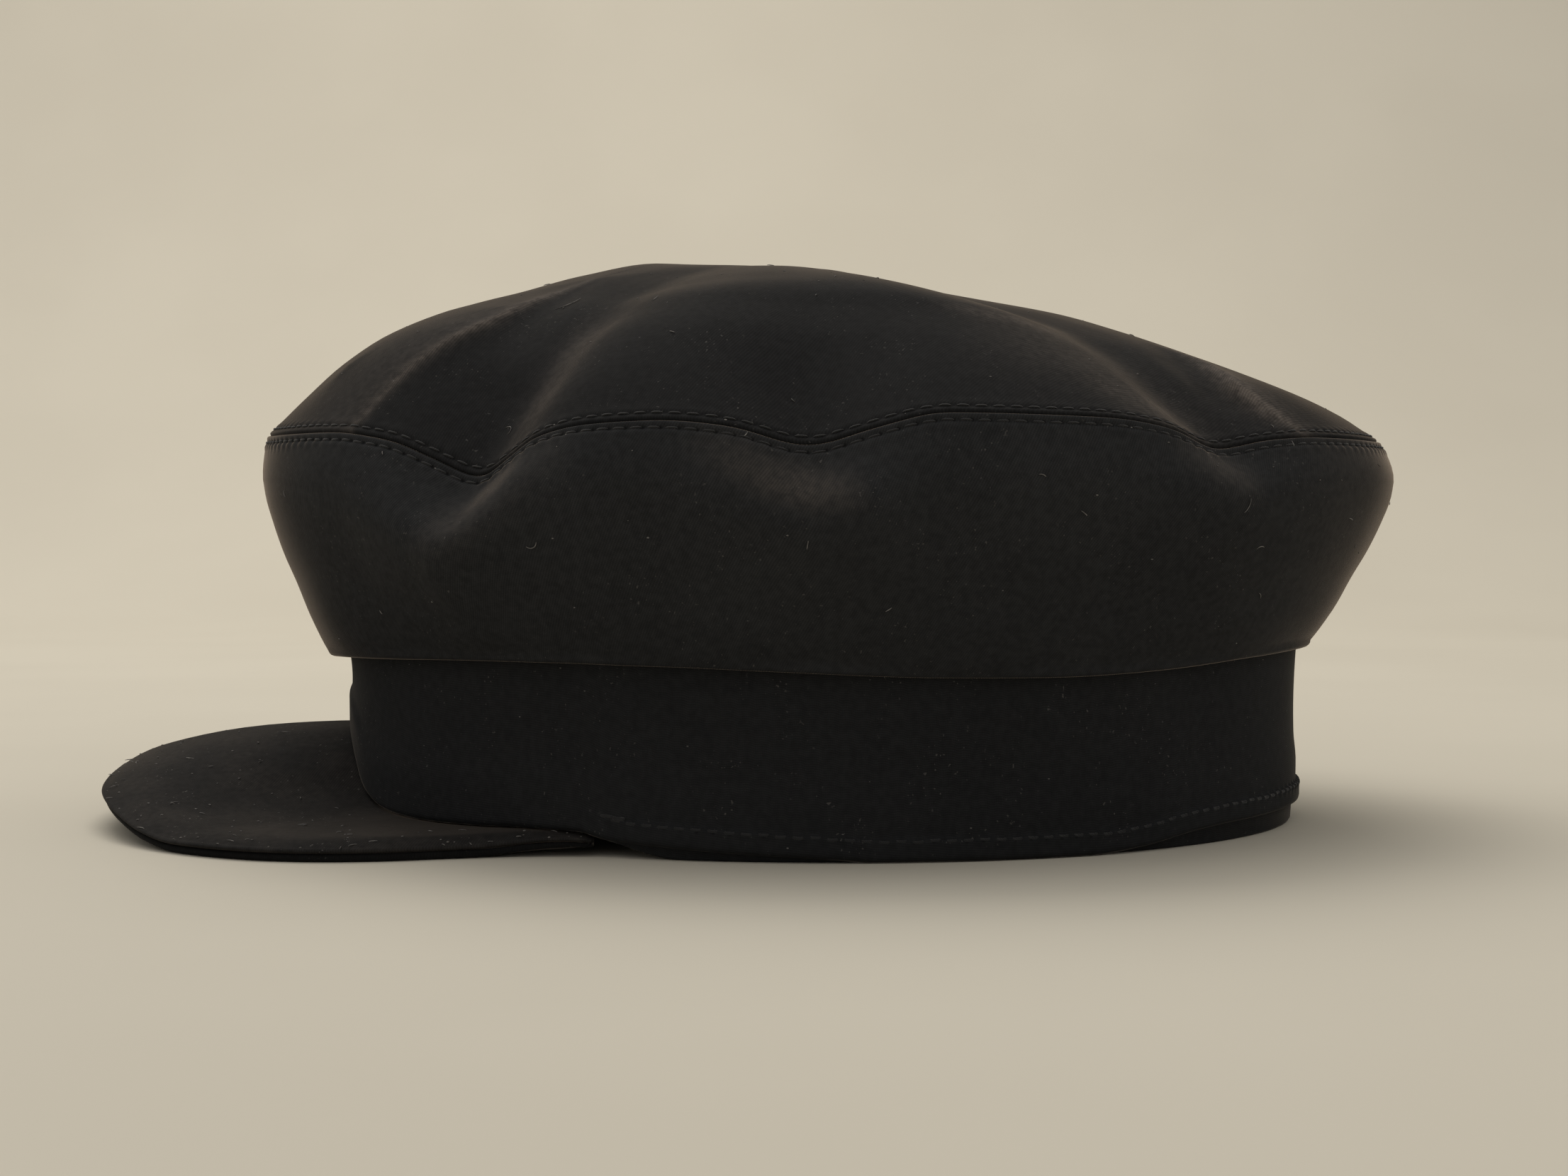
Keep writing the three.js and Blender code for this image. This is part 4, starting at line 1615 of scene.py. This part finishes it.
@dataclass
class Outline:
    """The peak's outline on one side, walked from the middle of its front to the band."""

    samples: int = 400
    line_samples: int = 4001

    def __post_init__(self) -> None:
        """Draws a rounded line through the rows and measures it."""
        rows = np.array(OUTLINE_ROWS, float)
        ends = np.concatenate([rows[:1], rows, rows[-1:]])
        walked = np.linspace(0, len(rows) - 1, self.line_samples)
        i = np.clip(walked.astype(int), 0, len(rows) - 2)
        t = (walked - i)[:, None]
        start, end = ends[i + 1], ends[i + 2]
        leave, arrive = (end - ends[i]) / 2, (ends[i + 3] - start) / 2
        line = (2 * t ** 3 - 3 * t ** 2 + 1) * start + (t ** 3 - 2 * t ** 2 + t) * leave
        line += (3 * t ** 2 - 2 * t ** 3) * end + (t ** 3 - t ** 2) * arrive
        steps = np.linalg.norm(np.diff(line, axis=0), axis=1)
        self.length = np.concatenate([[0], np.cumsum(steps)])
        self.line = line
        shares = np.linspace(0, 1, self.samples + 1)
        places = self.at(shares)
        edge = columns_of(EDGE_COLUMNS, EDGE_ROWS)
        near = [shares[np.hypot(places[:, 0] - x, places[:, 1] - y).argmin()]
                for x, y in zip(edge["x"], edge["y"])]
        self.top_z = Curve(near, edge["top_z"])
        self.thickness = Curve(near, [value / edge["thickness"][0] for value in edge["thickness"]])

    def at(self, share: Array) -> Array:
        """The outline's points at shares of its length."""
        walked = np.asarray(share) * self.length[-1]
        return np.stack([np.interp(walked, self.length, self.line[:, k]) for k in (0, 1)], axis=-1)


@dataclass(frozen=True)
class Cover:
    """One cover of the peak: its depth under the peak's upper face, its edge and how much its cloth fades.
    """

    name: str
    depth: float
    wall: float
    inset: float
    roll: float
    slump: float = 0.0
    fade: float = 0.0


@dataclass
class Peak:
    """The short peak: an upper cover that rolls over the edge, and an under cover set back from it."""

    hem: Hem
    stations: int = 260
    span: float = 63.75
    band_wall: float = 2.5
    end_gap: float = 0.05
    clearance: float = 0.1
    sunk: float = 0.3
    shoulder: float = 9.0
    shoulder_power: float = 2.5
    middle_droop: float = 2.1
    droop_fade: float = 2.5
    edge_turn: int = 15
    upper: Cover = Cover("peak_cover", 0.0, 2.3, 0.0, 1.0, 1.35, 0.17)
    under: Cover = Cover("peak_lining", 2.5, 1.4, 0.7, 0.65)
    ripple: Rumple = Rumple(31, 0.18, 18.0, 70.0)
    fading: Rumple = Rumple(43, 1.0, 7.0, 24.0)
    faded_and_sheen: float = 0.35

    def build(self) -> None:
        """Builds both covers."""
        self.outline = Outline()
        self.build_cover(self.upper, PEAK_CLOTH.material(), "peak_cloth", "peak_upper")
        self.build_cover(self.under, UNDER_CLOTH.material(), "under_cloth", "peak_under")

    def root(self, angle: Array) -> Array:
        """Where the peak's upper face meets the band, in plan."""
        return OVAL.points(angle, self.hem.out(angle) + self.clearance, 0.0)[..., :2]

    def face(self, side: Array, inward: Array) -> Array:
        """Points of the peak's upper face.

        Args:
            side: from -1 at the right end to 1 at the left end, one for each station.
            inward: the distance in from the outer edge, as stations by points. A distance past
                the band's face runs on level under the band.

        Returns:
            The points, as stations by points by 3.
        """
        reach = np.abs(side)[:, None]
        angle = reach * self.span
        start = self.root(angle)
        inside = OVAL.points(angle, -self.band_wall, 0.0)[..., :2]
        edge = self.outline.at(reach)
        length = np.linalg.norm(edge - start, axis=-1)
        share = 1 - inward / length
        past = np.clip(inward - length, 0, None) / self.band_wall
        plan = start + (edge - start) * np.clip(share, 0, 1)[..., None]
        plan = plan + (inside - start) * np.clip(past, 0, 1)[..., None]
        power = lerp(self.middle_droop, 1.0, np.minimum(1, reach * self.droop_fade))
        droop = np.clip(share, 0, 1) ** power
        z = lerp(self.hem.z(angle) - self.sunk, self.outline.top_z.at(reach), droop)
        sign = np.where(side < 0, -1.0, 1.0)[:, None]
        return np.stack([plan[..., 0] * sign, plan[..., 1], z], axis=-1)

    def rows_of(self, cover: Cover, reach: Array) -> tuple[Array, Array, Array]:
        """Lays out a cover's rows, from its inner end over its edge and back below.

        Args:
            cover: the cover.
            reach: how far along the peak's edge each station is, as stations by 1.

        Returns:
            Each row's distance from the peak's edge and its drop below the upper face, as stations
            by rows, and the cover's own inset, as stations by 1.
        """
        length = np.linalg.norm(self.outline.at(reach) - self.root(reach * self.span), axis=-1)
        thin = self.outline.thickness.at(reach)
        deepest = length + self.band_wall - self.end_gap
        inset = np.minimum(cover.inset, length * 0.6)
        roll = np.minimum(cover.roll * thin, (deepest - inset) * 0.4)
        full, slump = cover.wall * thin, cover.slump * thin
        half = (full - slump) / 2
        inward, drop = [], []
        for share in COVER_SHARES:
            inward.append(inset + roll + (deepest - inset - roll) * share)
            near = np.clip(1 - (inward[-1] - inset - roll) / self.shoulder, 0, 1)
            drop.append(slump * near ** self.shoulder_power)
        for turn in np.radians(np.arange(90, -91, -self.edge_turn)):
            inward.append(inset + roll * (1 - math.cos(turn)))
            drop.append(slump + half * (1 - math.sin(turn)))
        for share in COVER_SHARES[::-1]:
            inward.append(inset + roll + (deepest - inset - roll) * share)
            drop.append(full)
        return np.concatenate(inward, axis=1), np.concatenate(drop, axis=1), inset

    def build_cover(self, cover: Cover, material: bpy.types.Material, slot: str, node: str) -> None:
        """Builds one cover as a closed sleeve whose rows run along the peak's edge.

        Args:
            cover: the cover.
            material: its material.
            slot: the record's slot for it.
            node: the frame's node that it replaces.
        """
        side = np.linspace(-1, 1, self.stations)
        reach = np.abs(side)[:, None]
        inward, drop, inset = self.rows_of(cover, reach)
        points = self.face(side, inward)
        points[..., 2] -= cover.depth * self.outline.thickness.at(reach) + drop
        ripple = self.ripple.at(points) * smoothstep(inward - inset, 1.0, 8.0)
        points[..., 2] += ripple * smoothstep(reach, 1.0, 0.85)
        wear_and_sheen = cover.fade * np.clip(self.faded_and_sheen + self.fading.at(points), 0, 1)
        sleeve = Sleeve(cover.name, points.shape[1], self.stations, Ends.CAPPED)
        piece = sleeve.lay(points, self.cloth_of(points), wear_and_sheen)
        dress(piece, material, slot, node)
        if cover is self.upper:
            shown = points[:, : len(COVER_SHARES) + 6]
            self.skin = Skin(shown, np.broadcast_to(np.array([0, 0, 1.0]), shown.shape))

    def cloth_of(self, points: Array) -> Array:
        """Where each vertex lies on the flat cloth: along the edge, and across it."""
        closed = np.concatenate([points, points[:, :1]], axis=1)
        across = np.linalg.norm(np.diff(closed, axis=1), axis=2)
        across = np.concatenate([np.zeros((len(points), 1)), np.cumsum(across, axis=1)], axis=1)
        along = np.linalg.norm(np.diff(closed[:, closed.shape[1] // 2], axis=0), axis=1)
        along = np.concatenate([[0], np.cumsum(along)])[:, None]
        return np.stack([np.broadcast_to(along, across.shape), across], axis=-1)


# Lint

# How many bits of lint each skin has caught, and their scale
LINT_COUNTS = (("top", 140, 1.1), ("side", 100, 1.1), ("band", 70, 1.0), ("peak", 210, 1.3))

# The fibres that stand out most: their skin, their place, and their length, bend and heading
CLEAR_FIBRES = (
    ("top", (39.4, -50.2, 105.8), 6.5, 75, 70),
    ("top", (71.6, -59.4, 79.9), 3.2, 170, 120),
    ("side", (89.4, -53.1, 58.6), 2.6, 120, 20),
    ("side", (79.5, 76.4, 65.8), 3.0, 60, 70),
    ("side", (73.0, 79.9, 57.4), 2.4, -80, 10),
    ("band", (49.9, -80.7, 26.0), 3.4, 60, 110),
    ("peak", (11.3, -116.3, 17.7), 3.0, 40, 5),
    ("peak", (47.8, -128.4, 7.4), 2.6, 80, 30),
)


@dataclass
class Lint:
    """Short pale fibres and specks that the cloth has caught."""

    skins: dict[str, Skin]
    seed: int = 17
    fibre_share: float = 0.3
    fibre_lengths: tuple[float, float] = (0.6, 2.0)
    fibre_width: float = 0.095
    most_bend: float = 70.0
    speck_sizes: tuple[float, float] = (0.07, 0.2)
    segments: int = 8

    def build(self) -> None:
        """Lays the fibres and the specks and joins each kind into one piece."""
        draw = random.Random(self.seed)
        material = LintFinish().material()
        fibres = [
            self.fibre(name, *self.skins[name].nearest(place), *rest)
            for name, place, *rest in CLEAR_FIBRES
        ]
        specks = []
        for name, count, scale in LINT_COUNTS:
            for _ in range(count):
                row, column = self.anywhere(draw, self.skins[name])
                if draw.random() < self.fibre_share:
                    length = draw.uniform(*self.fibre_lengths) * scale
                    bend = draw.uniform(-self.most_bend, self.most_bend)
                    heading = draw.uniform(0, FULL_TURN)
                    fibres.append(self.fibre(name, row, column, length, bend, heading))
                else:
                    specks.append(self.speck(name, row, column, draw.uniform(*self.speck_sizes) * scale))
        for title, parts in (("lint_fibres", fibres), ("lint_specks", specks)):
            piece = self.join(title, parts)
            dress(piece, material, "crown_cloth")

    def anywhere(self, draw: random.Random, skin: Skin) -> tuple[int, int]:
        """A row and a column anywhere on a skin, away from its ends."""
        rows, columns = skin.points.shape[:2]
        return draw.randrange(4, rows - 2), draw.randrange(3, columns - 3)

    def frame_at(self, name: str, row: int, column: int) -> tuple[Array, Array, Array, Array]:
        """The place on a skin, two directions along it and the way out of it.

        Args:
            name: the skin's name.
            row: the row on it.
            column: the column on it.

        Returns:
            The four, in that order.
        """
        skin = self.skins[name]
        count = skin.points.shape[1]
        point, up = skin.points[row, column], skin.normals[row, column]
        ahead = skin.points[row, (column + 1) % count] - skin.points[row, column - 1]
        along = unit(ahead - up * (ahead @ up))
        return point, along, np.cross(up, along), up

    def fibre(
        self, name: str, row: int, column: int, length: float, bend: float, heading: float,
    ) -> bpy.types.Object:
        """Lays one fibre on a skin.

        Args:
            name: the skin's name.
            row: the skin's row at the fibre's middle.
            column: the skin's column there.
            length: the fibre's length in millimetres.
            bend: how far it turns from end to end, in degrees.
            heading: which way it points there, in degrees from the skin's rows.

        Returns:
            The fibre, as a piece of its own.
        """
        bpy.ops.object.select_all(action="DESELECT")
        bpy.ops.mesh.primitive_cylinder_add(vertices=5, radius=1.0, depth=1.0)
        piece = bpy.context.active_object
        bpy.ops.object.mode_set(mode="EDIT")
        for _ in range(self.segments - 1):
            bpy.ops.mesh.select_all(action="DESELECT")
            bpy.ops.object.mode_set(mode="OBJECT")
            end = max(piece.data.polygons, key=lambda face: face.center.z)
            end.select = True
            bpy.ops.object.mode_set(mode="EDIT")
            bpy.ops.mesh.select_mode(type="FACE")
            bpy.ops.mesh.extrude_region_move(TRANSFORM_OT_translate={"value": (0.0, 0.0, 1.0)})
        bpy.ops.object.mode_set(mode="OBJECT")
        point, along, across, up = self.frame_at(name, row, column)
        turn, curl = math.radians(heading), math.radians(bend)
        ahead = along * math.cos(turn) + across * math.sin(turn)
        aside = np.cross(up, ahead)
        for vertex in piece.data.vertices:
            share = (vertex.co.z + 0.5) / self.segments
            swing = curl * (share - 0.5)
            reach = length * (share - 0.5)
            lean = length * curl * (share - 0.5) ** 2 / 2
            thin = self.fibre_width * (1 - 0.6 * abs(2 * share - 1) ** 3)
            turned = aside * math.cos(swing) - ahead * math.sin(swing)
            place = point + ahead * reach * math.cos(swing / 2) + aside * lean
            lift = vertex.co.y * thin + thin + 0.12 * share
            place = place + turned * vertex.co.x * thin + up * lift
            vertex.co = to_frame(place)
        return piece

    def speck(self, name: str, row: int, column: int, size: float) -> bpy.types.Object:
        """One speck: a small flattened tuft lying on a skin.

        Args:
            name: the skin's name.
            row: the row on it.
            column: the column on it.
            size: the tuft's radius in millimetres.

        Returns:
            The speck, as a piece of its own.
        """
        bpy.ops.object.select_all(action="DESELECT")
        bpy.ops.mesh.primitive_ico_sphere_add(subdivisions=1, radius=size)
        piece = bpy.context.active_object
        bpy.ops.object.mode_set(mode="EDIT")
        bpy.ops.transform.resize(value=(1.5, 0.8, 0.6))
        bpy.ops.object.mode_set(mode="OBJECT")
        point, along, across, up = self.frame_at(name, row, column)
        for vertex in piece.data.vertices:
            x, y, z = vertex.co
            vertex.co = to_frame(point + along * x + across * y + up * (z + 0.3 * size))
        return piece

    def join(self, name: str, parts: list[bpy.types.Object]) -> bpy.types.Object:
        """Joins small parts into one piece.

        Args:
            name: the piece's name.
            parts: the parts.

        Returns:
            The piece.
        """
        bpy.ops.object.select_all(action="DESELECT")
        for part in parts:
            part.select_set(True)
        bpy.context.view_layer.objects.active = parts[0]
        bpy.ops.object.join()
        piece = bpy.context.active_object
        piece.name = name
        finish_faces()
        return piece


# The studio

@dataclass(frozen=True)
class SoftLight:
    """A square soft light that points at the cap."""

    name: str
    place: tuple[float, float, float]
    size: float
    power: float
    colour: tuple[float, float, float]
    aim: tuple[float, float, float] = (0.0, 0.0, 0.06)

    def hang(self) -> None:
        """Hangs the light."""
        bpy.ops.object.select_all(action="DESELECT")
        bpy.ops.object.light_add(type="AREA", location=self.place)
        light = bpy.context.active_object
        light.name = self.name
        light.data.shape = "SQUARE"
        light.data.size = self.size
        light.data.energy = self.power
        light.data.color = self.colour
        aim = Vector(self.aim) - Vector(self.place)
        light.rotation_euler = aim.to_track_quat("-Z", "Y").to_euler()


@dataclass
class Studio:
    """A pale paper sweep, soft light from above and behind, and a camera level with the cap."""

    camera_distance: float = 0.532
    camera_side: float = 0.0072
    camera_height: float = 0.0623
    camera_pitch: float = 1.53
    focal: float = 56.52
    film_width: float = 36.0
    nearest: float = 0.01
    sweep_half: float = 2.2
    sweep_back: float = 1.7
    sweep_front: float = 2.0
    sweep_height: float = 2.4
    sweep_radius: float = 0.9
    sweep_segments: int = 24
    air_colour: Colour = (1.0, 0.97, 0.925, 1.0)
    air_strength: float = 0.53
    lights: tuple[SoftLight, ...] = (
        SoftLight("back_light", (-0.95, -0.3, 1.6), 1.4, 11.0, (1.0, 0.95, 0.885)),
        SoftLight("top_light", (-0.3, -0.35, 1.8), 2.0, 10.5, (1.0, 0.965, 0.91)),
    )

    def build(self) -> None:
        """Builds the sweep, the lights, the air and the camera."""
        self.build_sweep()
        self.light_air()
        for light in self.lights:
            light.hang()
        self.place_camera()
        bpy.context.scene.view_settings.view_transform = "Standard"

    def build_sweep(self) -> None:
        """Draws the floor and bends its far edge up into the backdrop."""
        bpy.ops.object.select_all(action="DESELECT")
        bpy.ops.mesh.primitive_plane_add(size=2.0)
        sweep = bpy.context.active_object
        sweep.name = "paper_sweep"
        bpy.ops.object.mode_set(mode="EDIT")
        long = (self.sweep_back + self.sweep_front) / 2
        bpy.ops.transform.resize(value=(long, self.sweep_half, 1.0))
        middle = (self.sweep_front - self.sweep_back) / 2
        bpy.ops.transform.translate(value=(middle, 0.0, 0.0))
        self.select_edge(sweep, lambda a, b: a.x + b.x)
        bpy.ops.mesh.extrude_edges_move(
            TRANSFORM_OT_translate={"value": (0.0, 0.0, self.sweep_height)}
        )
        self.select_edge(sweep, lambda a, b: a.x + b.x + 10 * (a.z + b.z))
        bpy.ops.mesh.bevel(offset=self.sweep_radius, segments=self.sweep_segments, affect="EDGES")
        finish_faces()
        sweep.data.materials.append(PaperFinish().material())

    def select_edge(self, piece: bpy.types.Object, rank: Callable[[Vector, Vector], float]) -> None:
        """Selects the edge whose two ends rank lowest, in edit mode.

        Args:
            piece: the piece.
            rank: gives a number for an edge's two ends.
        """
        bpy.ops.mesh.select_mode(type="EDGE")
        bpy.ops.mesh.select_all(action="DESELECT")
        bpy.ops.object.mode_set(mode="OBJECT")
        place = [vertex.co for vertex in piece.data.vertices]
        edge = min(piece.data.edges, key=lambda edge: rank(*(place[i] for i in edge.vertices)))
        edge.select = True
        bpy.ops.object.mode_set(mode="EDIT")

    def light_air(self) -> None:
        """Fills the room with even warm light."""
        air = bpy.data.worlds.new("studio_air")
        air.use_nodes = True
        sky = next(node for node in air.node_tree.nodes if node.type == "BACKGROUND")
        sky.inputs["Color"].default_value = self.air_colour
        sky.inputs["Strength"].default_value = self.air_strength
        bpy.context.scene.world = air

    def place_camera(self) -> None:
        """Sets the camera on the wearer's left, a little above the middle of the cap."""
        bpy.ops.object.camera_add(location=(self.camera_distance, self.camera_side, self.camera_height))
        camera = bpy.context.active_object
        camera.name = "camera"
        drop = math.tan(math.radians(self.camera_pitch))
        camera.rotation_euler = Vector((-1.0, 0.0, -drop)).to_track_quat("-Z", "Y").to_euler()
        camera.data.lens = self.focal
        camera.data.sensor_width = self.film_width
        camera.data.clip_start = self.nearest
        bpy.context.scene.camera = camera


def main() -> None:
    """Builds the studio and the cap."""
    logging.basicConfig(level=logging.INFO, format="%(message)s")
    Studio().build()
    crown = Crown()
    crown.build()
    band = Headband(crown)
    band.build()
    peak = Peak(band.hem)
    peak.build()
    skins = {"top": crown.top_skin, "side": crown.side_skin, "band": band.skin, "peak": peak.skin}
    Lint(skins).build()


if __name__ == "__main__":
    main()
